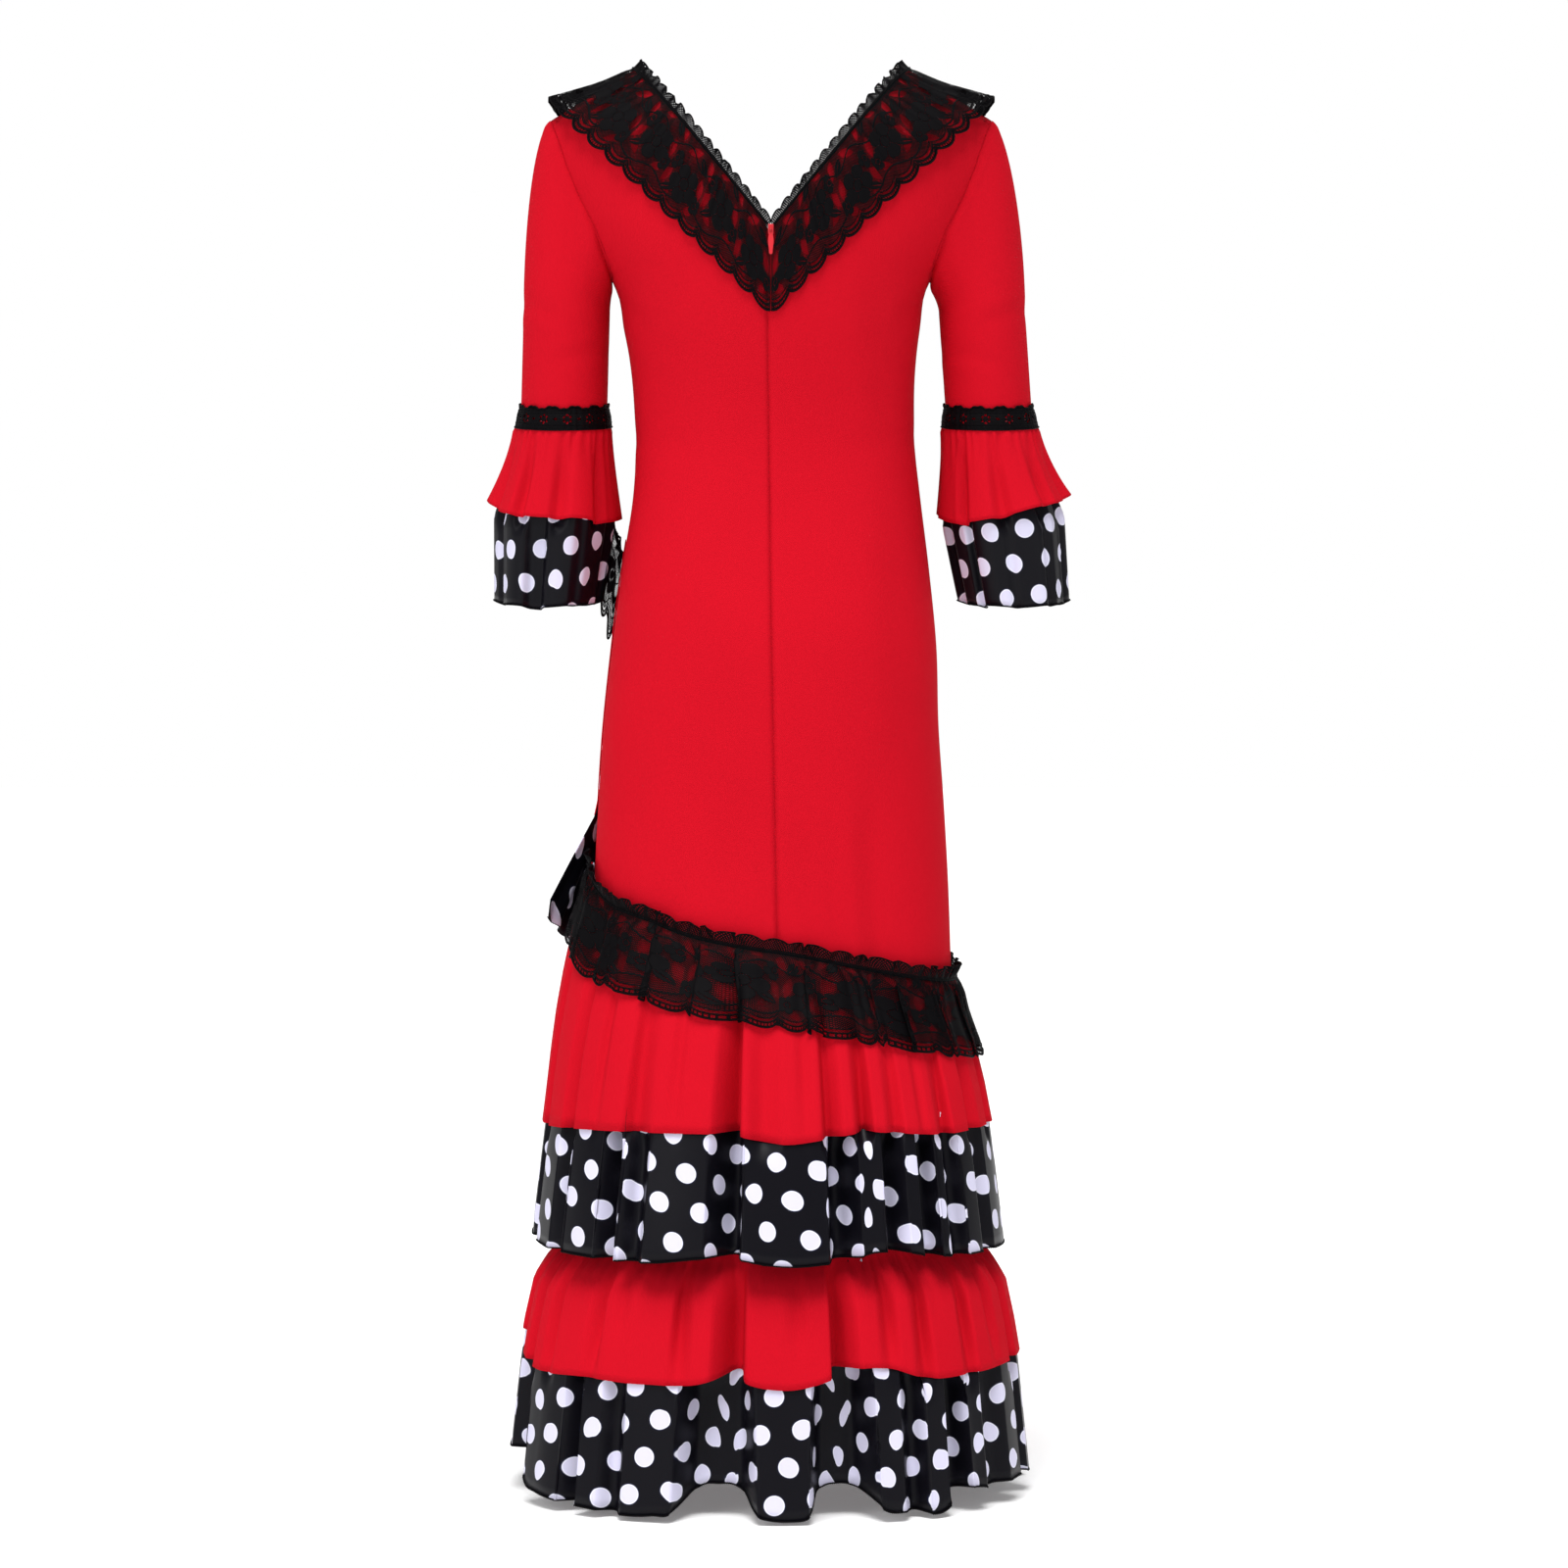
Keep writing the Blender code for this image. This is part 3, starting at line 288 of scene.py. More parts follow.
TIER2_RED_WAVES = [
    Wave(-80, 4.0, 0.55, 4, 0, 1.1, 0), Wave(-69, 3.4, 0.45, 4, 0, 1.1, 0),
    Wave(-58, 3.4, 0.34, 4, 0, 1.2, 170), Wave(-41, 3.2, 0.36, 4.5, 0, 1.3, 160),
    Wave(-33, 3.0, 0.16, 0, 0, 1, 110), Wave(-17, 3.0, 0.40, -4, 0, 1.3, 160),
    Wave(-7, 3.8, 0.95, 7.5, 0.1, 1.1, 0), Wave(4.5, 2.8, 0.22, 1, 0, 1.2, 120),
    Wave(14.4, 3.6, 0.95, -7.5, 0.1, 1.1, 0), Wave(25, 3.0, 0.40, 2.5, 0, 1.3, 150),
    Wave(34, 3.2, 0.42, 5, 0, 1.5, 190), Wave(49, 3.4, 0.40, 5, 0, 1.4, 180),
    Wave(61, 3.2, 0.28, 0, 0, 1.2, 140), Wave(73, 3.8, 0.40, 0, 0, 1.2, 0),
    *FAR_FOLDS, Wave(258, 4, 0.5, 0, 0, 1.1, 0),
]
TIER2_DOT_WAVES = [
    Wave(-74, 6.5, 0.80, 3, 0.4, 1.2, 0), Wave(-46, 3.0, 0.55, 4, 0, 1.1, 0),
    Wave(-33, 3.6, 0.34, 0, 0, 1, 0), Wave(-9.6, 7.2, 0.96, 1, 0.55, 1.15, 0),
    Wave(13.8, 6.4, 0.96, -1, 0.5, 1.15, 0), Wave(30, 3.4, 0.42, 3, 0, 1, 0),
    Wave(43, 3.4, 0.62, 5, 0.1, 1.1, 0), Wave(58, 6.0, 0.34, 0, 0.2, 1, 0),
    Wave(76, 4.0, 0.50, 0, 0.1, 1.1, 0), *FAR_FOLDS, Wave(258, 4, 0.5, 0, 0, 1.1, 0),
]
HIP_WAVES = [
    Wave(-104, 4, 0.40, 0, 0, 1, 0), Wave(-115, 5, 0.60, -2, 0.1, 1.1, 0),
    Wave(-128, 5, 0.55, 2, 0, 1.1, 0), Wave(-143, 6, 0.72, 3, 0.2, 1.2, 0),
    Wave(-158, 5, 0.55, -2, 0, 1.1, 0), Wave(-174, 6, 0.72, 2, 0.2, 1.2, 0),
    Wave(-190, 5, 0.60, 0, 0, 1.1, 0), Wave(-206, 5, 0.55, -2, 0, 1.1, 0),
    Wave(-222, 4, 0.45, 2, 0, 1, 0),
]

# Lower edges as drawn, as height of the hem at each angle round the body.
FAR_RED_HEM = [(112, -975), (131, -971), (150, -975), (169, -970), (188, -975), (207, -970),
               (226, -974), (246, -970), (270, -969)]
TIER1_RED_EDGE = [(-90, -969), (-80, -970), (-45, -967), (-12, -966), (-8, -966), (2, -975),
                  (10, -971), (16, -967), (20, -965), (24, -966), (44, -971), (62, -970),
                  (80, -969), (90, -970), *FAR_RED_HEM]
TIER1_DOT_EDGE = [(-90, -1072), (-85, -1073), (-62, -1078), (-46, -1079), (-22, -1080),
                  (-10, -1075), (-6.5, -1075), (2, -1082), (10, -1080), (16, -1076),
                  (19, -1072), (25, -1071), (36, -1077), (62, -1080), (75, -1080), (90, -1080),
                  (112, -1076), (131, -1084), (150, -1075), (169, -1083), (188, -1075),
                  (207, -1082), (226, -1073), (246, -1077), (270, -1072)]
TIER2_RED_EDGE = [(-90, -1162), (-82, -1165), (-78, -1176), (-67, -1187), (-41, -1188),
                  (-25, -1190), (-10, -1185), (-6.8, -1179), (-4, -1186), (0, -1192),
                  (10, -1186), (14.4, -1178), (24, -1176), (33, -1186), (49, -1187), (72, -1184),
                  (90, -1182), (112, -1178), (131, -1190), (150, -1176), (169, -1190),
                  (188, -1178), (207, -1189), (226, -1172), (246, -1176), (270, -1162)]
TIER2_DOT_EDGE = [(-90, -1270), (-78, -1271), (-70, -1275), (-65, -1293), (-58, -1298),
                  (-40, -1303), (-22, -1305), (-17, -1301), (-14.5, -1287), (-9.6, -1282),
                  (-5, -1286), (-2.5, -1300), (3, -1308), (7, -1303), (9.5, -1288),
                  (13.8, -1282), (18.5, -1287), (21, -1298), (28, -1303), (38, -1304),
                  (42, -1293), (57, -1292), (72, -1289), (90, -1296), (104, -1303),
                  (112, -1288), (131, -1305), (150, -1284), (169, -1305), (188, -1285),
                  (207, -1303), (226, -1280), (246, -1292), (270, -1270)]

# Folds of the cuffs: place round the arm, half of its width and depth.
CUFF_WAVE_SHOWN = 2.4
CuffFold = namedtuple("CuffFold", "turn half_width depth flat")
CUFF_RED_FOLDS = {
    "left": [CuffFold(20, 12, 5.0, 0), CuffFold(58, 9, 8.5, 0.1), CuffFold(96, 12, 8.0, 0),
             CuffFold(138, 11, 6.5, 0), CuffFold(186, 14, 5.0, 0), CuffFold(228, 15, 5.5, 0),
             CuffFold(272, 14, 5.0, 0), CuffFold(318, 14, 5.0, 0)],
    "right": [CuffFold(14, 11, 5.0, 0), CuffFold(50, 11, 7.5, 0), CuffFold(92, 11, 7.0, 0.1),
              CuffFold(130, 10, 8.5, 0), CuffFold(176, 14, 5.0, 0), CuffFold(222, 15, 5.5, 0),
              CuffFold(270, 14, 5.0, 0), CuffFold(318, 14, 5.0, 0)],
}
CUFF_DOT_FOLDS = {
    "left": [CuffFold(22, 8, 3.5, 0), CuffFold(75, 13, 8.5, 0.55), CuffFold(120, 10, 2.5, 0),
             CuffFold(163, 9, 5.0, 0.1), CuffFold(205, 10, 6.0, 0.2), CuffFold(250, 9, 4.5, 0),
             CuffFold(292, 10, 6.0, 0.2), CuffFold(335, 8, 4.0, 0)],
    "right": [CuffFold(12, 8, 4.0, 0), CuffFold(48, 9, 4.5, 0.1), CuffFold(90, 8, 2.5, 0),
              CuffFold(130, 7, 8.0, 0.1), CuffFold(163, 9, 6.0, 0.3), CuffFold(206, 10, 6.0, 0.2),
              CuffFold(250, 9, 4.5, 0), CuffFold(292, 10, 6.0, 0.2), CuffFold(335, 8, 4.0, 0)],
}

Crease = namedtuple("Crease", "x0 z0 x1 z1 width depth")
BACK_CREASES = [
    Crease(88, -690, 96, -830, 12, 2.0), Crease(58, -700, 66, -840, 10, 1.2),
    Crease(-30, -680, -38, -830, 15, 1.3), Crease(-118, -520, -124, -700, 15, 1.0),
    Crease(112, -420, 126, -620, 16, 1.2), Crease(-92, -190, -104, -330, 14, 1.0),
    Crease(96, -190, 106, -330, 14, 1.0),
    Crease(-146, -196, -112, -240, 8, 1.2), Crease(150, -188, 118, -232, 8, 1.2),
    Crease(-84, -640, -96, -790, 16, 1.2), Crease(92, -650, 106, -840, 15, 1.4),
    Crease(-140, -330, -70, -345, 10, 0.6), Crease(136, -330, 70, -345, 10, 0.6),
    Crease(40, -690, 46, -830, 14, 0.7),
]
FRONT_CREASES = [
    Crease(-142, -196, -108, -235, 9, 1.2), Crease(146, -190, 112, -230, 9, 1.2),
]
SLEEVE_CREASES = {
    "left": [Crease(-170, -108, -152, -172, 6, 1.6), Crease(-232, -205, -196, -222, 8, 1.0),
             Crease(-158, -250, -200, -262, 7, 0.7)],
    "right": [Crease(176, -100, 156, -165, 6, 1.4), Crease(238, -210, 200, -226, 8, 1.0),
              Crease(164, -250, 206, -264, 7, 0.7)],
}


def smooth(table, at):
    """Read a table of (key, value) rows at any places, along a cubic through its rows."""
    keys, values = np.array(table, float).T
    slopes = np.gradient(values, keys)
    at = np.clip(np.asarray(at, float), keys[0], keys[-1])
    row = np.clip(np.searchsorted(keys, at) - 1, 0, len(keys) - 2)
    step = keys[row + 1] - keys[row]
    t = (at - keys[row]) / step
    rise = (3 - 2 * t) * t * t
    start_slope = t * (1 - t) ** 2 * step * slopes[row]
    end_slope = t * t * (t - 1) * step * slopes[row + 1]
    return values[row] * (1 - rise) + values[row + 1] * rise + start_slope + end_slope


def smoothstep(low, high, at):
    t = np.clip((np.asarray(at, float) - low) / (high - low), 0, 1)
    return t * t * (3 - 2 * t)


def section(column, z):
    """One column of the body's sections at any heights."""
    return smooth([(row.z, getattr(row, column)) for row in BODY], z)


def shoulder_line(x):
    slope = (SHOULDER_POINT[1] - NECK_POINT[1]) / (SHOULDER_POINT[0] - NECK_POINT[0])
    return NECK_POINT[1] + slope * (np.abs(x) - NECK_POINT[0])


def shoulder_round(x, z):
    """1 on the body, falling to 0 on the shoulder seam."""
    rise = np.clip((z - shoulder_line(x) + SHOULDER_ROLL) / SHOULDER_ROLL, 0, 1)
    return np.sqrt(1 - rise * rise)


def body_depth(x, z, face):
    """Y of the cloth at x and z, on its back (face -1) or front (face 1)."""
    reach = np.clip(np.abs(x - section("centre", z)) / section("half_width", z), 0, 1)
    bulge = (1 - reach ** (2 / ROUNDNESS)) ** (ROUNDNESS / 2)
    return face * section("back" if face < 0 else "front", z) * bulge * shoulder_round(x, z)


def stack(x, y, z):
    return np.stack(np.broadcast_arrays(x, y, z), axis=-1).astype(float)


def grid_normals(grid, closed):
    """Unit normals of a grid of points, from its own rows and columns."""
    along = np.gradient(grid, axis=0)
    if closed:
        around = np.roll(grid, -1, axis=1) - np.roll(grid, 1, axis=1)
    else:
        around = np.gradient(grid, axis=1)
    normal = np.cross(around, along)
    return normal / np.maximum(np.linalg.norm(normal, axis=-1, keepdims=True), 1e-9)


def outward(grid, closed, axis_point=None):
    """1 where the grid's own normals point away from the middle of each row, else -1."""
    middle = grid.mean(axis=1, keepdims=True) if axis_point is None else np.array(axis_point)
    away = grid - middle
    away[..., 2] = 0
    return 1 if (grid_normals(grid, closed) * away).sum() > 0 else -1


def armhole(side, turn):
    """The armhole seam: 0 is the shoulder, 90 the back, 180 the armpit and 270 the front."""
    climb = (1 + np.cos(turn)) / 2
    z = ARMPIT[1] + (SHOULDER_POINT[1] - ARMPIT[1]) * climb
    x = side * np.interp(z, ARMHOLE_Z, ARMHOLE_X)
    back = body_depth(x, z, -1)
    front = body_depth(x, z, 1)
    return stack(x, np.where(np.sin(turn) > 0, back, front), z)


def arm_centre(arm, z):
    """Middle of the sleeve at a height, leaning forward below the elbow."""
    x = np.interp(z, [CUFF_SEAM, TUBE_TOP], [arm.cuff_x, arm.tube_x])
    lean = ARM_LEAN * smoothstep(-200, -520, z)
    return x, lean


def tube_ring(arm, turn, z, grow=0.0):
    x, y = arm_centre(arm, z)
    out = np.cos(turn) * arm.side
    return stack(x + (TUBE_RADIUS_X + grow) * out, y - (TUBE_RADIUS_Y + grow) * np.sin(turn), z)


def tilted(ring, turn, radius):
    """A ring with its back dipped, square to the bent arm."""
    ring = ring.copy()
    ring[..., 2] -= CUFF_TILT * radius * np.sin(turn)
    return ring


def fold_depth(folds, degrees, drop):
    """How deep the folds are at each point, as a share of the room, and how far they lean."""
    depth = 0 * degrees + 0 * drop
    lean = 0 * depth
    for fold in folds:
        width = fold.half_width * (1 + (fold.spread - 1) * smoothstep(60, 260, drop))
        away = (degrees - fold.angle + 180) % 360 - 180
        bump = 1 - smoothstep(fold.flat, 1, np.abs(away) / width)
        if fold.until:
            bump = bump * smoothstep(fold.until, fold.until * 0.35, drop)
        depth = depth + fold.depth * bump
        lean = lean + fold.lean * bump
    return depth, lean


class Flounce:
    """The folds of one layer of a tier.  A lower layer keeps inside the folds of the upper one."""

    def __init__(self, folds, over=None, over_length=0):
        self.folds = folds
        self.over = over
        self.over_length = over_length

    def __call__(self, degrees, drop):
        depth, lean = fold_depth(self.folds, degrees, drop)
        if self.over is None:
            return depth, lean
        outer, outer_lean = fold_depth(self.over, degrees, drop)
        covered = smoothstep(18, -6, drop - self.over_length)
        own = smoothstep(-70, 10, drop - self.over_length)
        depth = np.maximum(depth * own, outer * covered)
        return depth, lean * own * (1 - covered) + outer_lean * covered


def tier_base(tier, layer, degrees, drop, core):
    """Points of a tier's outermost cloth at angles round the body and drops below its seam."""
    turn = np.radians(degrees)
    z = smooth(tier.seam, wrap(tier, degrees)) - drop
    stand = np.interp(drop, tier.stand_drop, tier.stand_out)
    back = np.cos(turn) > 0
    facing = 1 + (np.where(back, tier.back_out, tier.front_out) - 1) * np.cos(turn) ** 2
    stand = tier.stand_out[0] + (stand - tier.stand_out[0]) * facing
    if tier is HIP:
        held = np.interp(drop, HIP_HELD_DROP, HIP_HELD_OUT)
        stand = held + (stand - held) * smoothstep(-HIP_SEAM[-1][0], HIP_FREE, -degrees)
    room = stand - core(degrees, z) - (LAYER_GAP + CLOTH_WALL) * smoothstep(0, LAYER_DROP, drop)
    half = section("half_width", z) + stand
    deep = section("back", z) * back + section("front", z) * ~back + stand
    x = section("centre", z) + half * np.sign(np.sin(turn)) * np.abs(np.sin(turn)) ** ROUNDNESS
    y = -deep * np.sign(np.cos(turn)) * np.abs(np.cos(turn)) ** ROUNDNESS
    normal = stack(np.sin(turn) * deep, -np.cos(turn) * half, 0 * x)
    normal /= np.linalg.norm(normal, axis=-1, keepdims=True)
    tangent = stack(-normal[..., 1], normal[..., 0], 0 * x)
    depth, lean = layer(degrees, drop)
    grown = smoothstep(0, 60, drop)
    points = stack(x, y, z) - normal * (np.minimum(depth, 0.97) * np.maximum(room, 0))[..., None]
    return points + tangent * (lean * grown)[..., None]


def wrap(tier, degrees):
    """Angles brought into the range of the tier's own seam table."""
    first, last = tier.seam[0][0], tier.seam[-1][0]
    if last - first < 360:
        return degrees
    return (np.asarray(degrees) - first) % 360 + first


def tier_points(tier, layer, degrees, drop, inset, core):
    """The same cloth, set in or out by true distance across its folds."""
    turn = 0.25
    step = 1.0
    here = tier_base(tier, layer, degrees, drop, core)
    along = tier_base(tier, layer, degrees + turn, drop, core)
    along -= tier_base(tier, layer, degrees - turn, drop, core)
    down = tier_base(tier, layer, degrees, drop + step, core)
    down -= tier_base(tier, layer, degrees, np.maximum(drop - step, 0), core)
    out = np.cross(down, along)
    out /= np.maximum(np.linalg.norm(out, axis=-1, keepdims=True), 1e-9)
    return here - out * np.asarray(inset)[..., None]


def seam_height(tier, degrees):
    return smooth(tier.seam, wrap(tier, degrees))


def tier1_core(degrees, z):
    """Room that the first tier leaves for the skirt and for the top of the second tier."""
    return 3 + 9 * smoothstep(-1040, -1075, z)


def tier2_core(degrees, z):
    return 3 + 0 * z


def hip_core(degrees, z):
    """Room that the hip tier leaves for the first tier below it."""
    below = seam_height(TIER1, degrees) - z
    stand = np.interp(below, TIER1.stand_drop, TIER1.stand_out) * TIER1.front_out
    return np.where(below > -HEADING - 4, stand + 6, 3)


def collar_path(side, s, across):
    """Points on the body under the collar: s runs from centre back (-1) to centre front (1)."""
    back = s < 0
    bottom = np.where(back, BACK_V, FRONT_V)
    up = 1 - s * s
    inner_x = NECK_POINT[0] * up
    inner_z = bottom + (NECK_POINT[1] - bottom) * up
    outer_x = COLLAR_END[0] * up
    outer_z = bottom - COLLAR_DROP + (COLLAR_END[1] - bottom + COLLAR_DROP) * up
    x = side * (inner_x + (outer_x - inner_x) * across)
    z = inner_z + (outer_z - inner_z) * across
    y = np.where(back, body_depth(x, z, -1), body_depth(x, z, 1))
    return stack(x, y, z)


def collar_points(side, s, across):
    """Points of the lace along the neckline, standing off the body, most at the shoulder."""
    step = 0.002
    here = collar_path(side, s, across)
    ahead = collar_path(side, np.minimum(s + step, 1), across)
    behind = collar_path(side, np.maximum(s - step, -1), across)
    in_by = collar_path(side, s, across - 0.02)
    out_by = collar_path(side, s, across + 0.02)
    normal = np.cross(ahead - behind, out_by - in_by)
    normal /= np.maximum(np.linalg.norm(normal, axis=-1, keepdims=True), 1e-9)
    away = here * np.array([1, 1, 0]) + np.array([0, 0, 1]) * (1 - np.abs(s))[:, None] * 200
    normal *= np.sign((normal * away).sum(axis=-1, keepdims=True))
    up = 1 - s * s
    raised = COLLAR_LIFT * smoothstep(0.55, 1, up) * np.maximum(across, 0) ** 1.5
    bow = np.sin(math.pi * np.clip(across * 0.75, 0, 1))
    rest = LACE_WALL + SEAM_GAP + COLLAR_CLEAR + COLLAR_REST * bow
    return here + normal * (rest + raised)[..., None]


CLOTH_SHOWN = 0.9       # wall of the cloth as drawn
LACE_SHOWN = 0.5


def relief(grid, closed, amount, centre=None):
    """Move each point of a grid outwards along its own normal."""
    normal = grid_normals(grid, closed) * outward(grid, closed, centre)
    return grid + normal * np.broadcast_to(amount, grid.shape[:2])[..., None]


def cloth_lengths(grid, closed):
    """Lengths along the cloth at its middle row, and down each column, in mm."""
    ring = np.concatenate([grid, grid[:, :1]], axis=1) if closed else grid
    along = np.linalg.norm(np.diff(ring[len(ring) // 2], axis=0), axis=-1)
    u = np.concatenate([[0], np.cumsum(along)])
    down = np.linalg.norm(np.diff(ring, axis=0), axis=-1)
    v = np.concatenate([np.zeros((1, down.shape[1])), np.cumsum(down, axis=0)])
    return np.broadcast_to(u, v.shape), v


def phase_of(share, count, seed):
    turn = 2 * math.pi * share
    return count * turn + 1.3 * np.sin(5 * turn + seed) + 0.9 * np.sin(13 * turn + 2.1 * seed)


def ripple(share, count, seed):
    """A number of uneven waves between -1 and 1, which meet at the ends."""
    size = 0.7 + 0.3 * np.sin(2 * math.pi * 7 * share + 1.7 * seed)
    return np.sin(phase_of(share, count, seed)) * size


def quads_of(rows, columns, closed, flip):
    index = np.arange(rows * columns).reshape(rows, columns)
    left = index if closed else index[:, :-1]
    right = np.roll(index, -1, axis=1) if closed else index[:, 1:]
    corners = [left[:-1], right[:-1], right[1:], left[1:]]
    if flip:
        corners.reverse()
    return np.stack(corners, axis=-1).reshape(-1, 4)


def uv_corners(u, v, flip):
    flat = np.stack([u, v], axis=-1)
    corners = [flat[:-1, :-1], flat[:-1, 1:], flat[1:, 1:], flat[1:, :-1]]
    if flip:
        corners.reverse()
    return np.stack(corners, axis=2).reshape(-1, 2)


def new_piece(name, points, faces, finish):
    mesh = bpy.data.meshes.new(name)
    mesh.from_pydata(points.tolist(), [], faces.tolist())
    mesh.materials.append(finish)
    mesh.shade_smooth()
    piece = bpy.data.objects.new(name, mesh)
    bpy.context.scene.collection.objects.link(piece)
    return piece


def turned(lengths, degrees):
    """Lengths measured on the bias of the cloth."""
    u, v = lengths
    c, s = math.cos(math.radians(degrees)), math.sin(math.radians(degrees))
    return u * c - v * s, u * s + v * c


def add_cloth(name, grids, closed, wall, finish, lengths, centre=(0, 0, 0)):
    """One piece of cloth from grids of its outer points, with its own lengths as UV in metres."""
    points, faces, marks = [], [], []
    start = 0
    for grid, (u, v) in zip(grids, lengths):
        flip = outward(grid, closed, centre) < 0
        rows, columns = grid.shape[:2]
        points.append(grid.reshape(-1, 3))
        faces.append(quads_of(rows, columns, closed, flip) + start)
        marks.append(uv_corners(u, v, flip))
        start += rows * columns
    piece = new_piece(name + "_cloth", np.concatenate(points) * MM, np.concatenate(faces), finish)
    layer = piece.data.uv_layers.new(name="cloth")
    layer.data.foreach_set("uv", (np.concatenate(marks) * MM).ravel())
    thicken = piece.modifiers.new("wall", "SOLIDIFY")
    thicken.thickness = wall * MM
    thicken.offset = -1
    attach(piece, "dress")
    return piece


def tube(path, radius, closed, sides=5):
    """Points and faces of a round cord along a path."""
    ahead = np.roll(path, -1, axis=0) - np.roll(path, 1, axis=0)
    if not closed:
        ahead[0] = path[1] - path[0]
        ahead[-1] = path[-1] - path[-2]
    ahead /= np.maximum(np.linalg.norm(ahead, axis=1, keepdims=True), 1e-9)
    up = np.cross(ahead, np.cross(np.broadcast_to([0.31, 0.17, 0.93], ahead.shape), ahead))
    up /= np.maximum(np.linalg.norm(up, axis=1, keepdims=True), 1e-9)
    side = np.cross(ahead, up)
    turn = np.arange(sides) * 2 * math.pi / sides
    ring = up[:, None] * np.cos(turn)[:, None] + side[:, None] * np.sin(turn)[:, None]
    points = path[:, None] + ring * radius
    index = np.arange(len(path) * sides).reshape(len(path), sides)
    left = index if closed else index[:-1]
    right = np.roll(index, -1, axis=0) if closed else index[1:]
    faces = np.stack([left, np.roll(left, -1, axis=1), np.roll(right, -1, axis=1), right], axis=-1)
    return points.reshape(-1, 3), faces.reshape(-1, 4)


def add_cords(name, cords, finish):
    """Several cords as one piece; a cord is a path, its radius and whether it is closed."""
    points, faces = [], []
    start = 0
    for path, radius, closed in cords:
        some, some_faces = tube(path, radius, closed)
        points.append(some)
        faces.append(some_faces + start)
        start += len(some)
    piece = new_piece(name, np.concatenate(points) * MM, np.concatenate(faces), finish)
    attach(piece, "dress")
    return piece


def declare(node):
    """Hide the solid that a piece of cloth stands for."""
    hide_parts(node)


class Field:
    """A number at each point of a surface, for plain arithmetic in a material."""

    def __init__(self, nodes, socket):
        self.nodes = nodes
        self.socket = socket

    def maths(self, operation, *others):
        inputs = dict(enumerate((self, *others)))
        made = self.nodes.node("ShaderNodeMath", inputs, operation=operation)
        return Field(self.nodes, made.outputs[0])

    def __add__(self, other):
        return self.maths("ADD", other)

    def __sub__(self, other):
        return self.maths("SUBTRACT", other)

    def __mul__(self, other):
        return self.maths("MULTIPLY", other)

    def __truediv__(self, other):
        return self.maths("DIVIDE", other)

    __radd__ = __add__
    __rmul__ = __mul__

    def __rsub__(self, other):
        return (self * -1.0).maths("ADD", other)

    def floor(self):
        return self.maths("FLOOR")

    def absolute(self):
        return self.maths("ABSOLUTE")

    def sine(self):
        return self.maths("SINE")

    def cosine(self):
        return self.maths("COSINE")

    def root(self):
        return self.maths("SQRT")

    def power(self, other):
        return self.maths("POWER", other)

    def wrapped(self, period):
        return self.maths("FLOORED_MODULO", period)

    def least(self, other):
        return self.maths("MINIMUM", other)

    def most(self, other):
        return self.maths("MAXIMUM", other)

    def angle_of(self, other):
        return self.maths("ARCTAN2", other)

    def within(self, limit, soft):
        """1 where this is under the limit, 0 over it, with a soft step between."""
        return ((limit - self) / soft + 0.5).least(1.0).most(0.0)


class Nodes:
    """A material's nodes, one call for each."""

    def __init__(self, name):
        self.made = bpy.data.materials.new(name)
        self.made.use_nodes = True
        self.tree = self.made.node_tree
        self.shader = self.tree.nodes["Principled BSDF"]

    def put(self, socket, value):
        if isinstance(value, Field):
            value = value.socket
        if isinstance(value, bpy.types.NodeSocket):
            self.tree.links.new(value, socket)
        else:
            socket.default_value = value

    def node(self, kind, inputs, **settings):
        made = self.tree.nodes.new(kind)
        for key, value in settings.items():
            setattr(made, key, value)
        for key, value in inputs.items():
            self.put(made.inputs[key], value)
        return made

    def lengths(self):
        """Lengths along and down the cloth, in mm."""
        marks = self.node("ShaderNodeUVMap", {}, uv_map="cloth")
        parts = self.node("ShaderNodeSeparateXYZ", {"Vector": marks.outputs["UV"]})
        return (Field(self, parts.outputs["X"]) * 1000.0, Field(self, parts.outputs["Y"]) * 1000.0)

    def noise(self, scale, detail=2.0, stretch=(1, 1, 1)):
        place = self.node("ShaderNodeTexCoord", {})
        spread = self.node("ShaderNodeVectorMath", {0: place.outputs["Object"], 1: stretch},
                           operation="MULTIPLY")
        made = self.node("ShaderNodeTexNoise", {"Vector": spread.outputs[0], "Scale": scale,
                                                "Detail": detail})
        return Field(self, made.outputs["Fac"])

    def mix(self, factor, first, second):
        made = self.node("ShaderNodeMix", {0: factor, 6: first, 7: second}, data_type="RGBA")
        return made.outputs[2]

    def bump(self, height, distance, strength=1.0):
        made = self.node("ShaderNodeBump", {"Height": height, "Distance": distance * MM,
                                            "Strength": strength})
        return made.outputs["Normal"]

    def surface(self, **values):
        for key, value in values.items():
            self.put(self.shader.inputs[key.replace("_", " ")], value)
        return self.made


def colour(red, green, blue):
    return (red, green, blue, 1.0)


def knit_material():
    """Matte stretch knit with a fine diagonal rib."""
    nodes = Nodes("red_knit")
    u, v = nodes.lengths()
    rib = ((u * 0.8 + v) * (2 * math.pi / RIB_PITCH)).sine()
    cross = ((u * 0.9 - v) * (2 * math.pi / RIB_PITCH)).sine()
    uneven = nodes.noise(9.0)
    fuzz = nodes.noise(900.0, 3.0)
    grain = nodes.noise(420.0, 2.0)
    tone = nodes.mix(uneven * 0.5 + grain * 0.5, colour(*RED_DEEP), colour(*RED_LIGHT))
    height = rib * 0.5 + cross * 0.25 + fuzz * 0.8
    return nodes.surface(Base_Color=tone, Roughness=0.85, 
                         Normal=nodes.bump(height, 0.2, 0.55), Specular_IOR_Level=0.04)


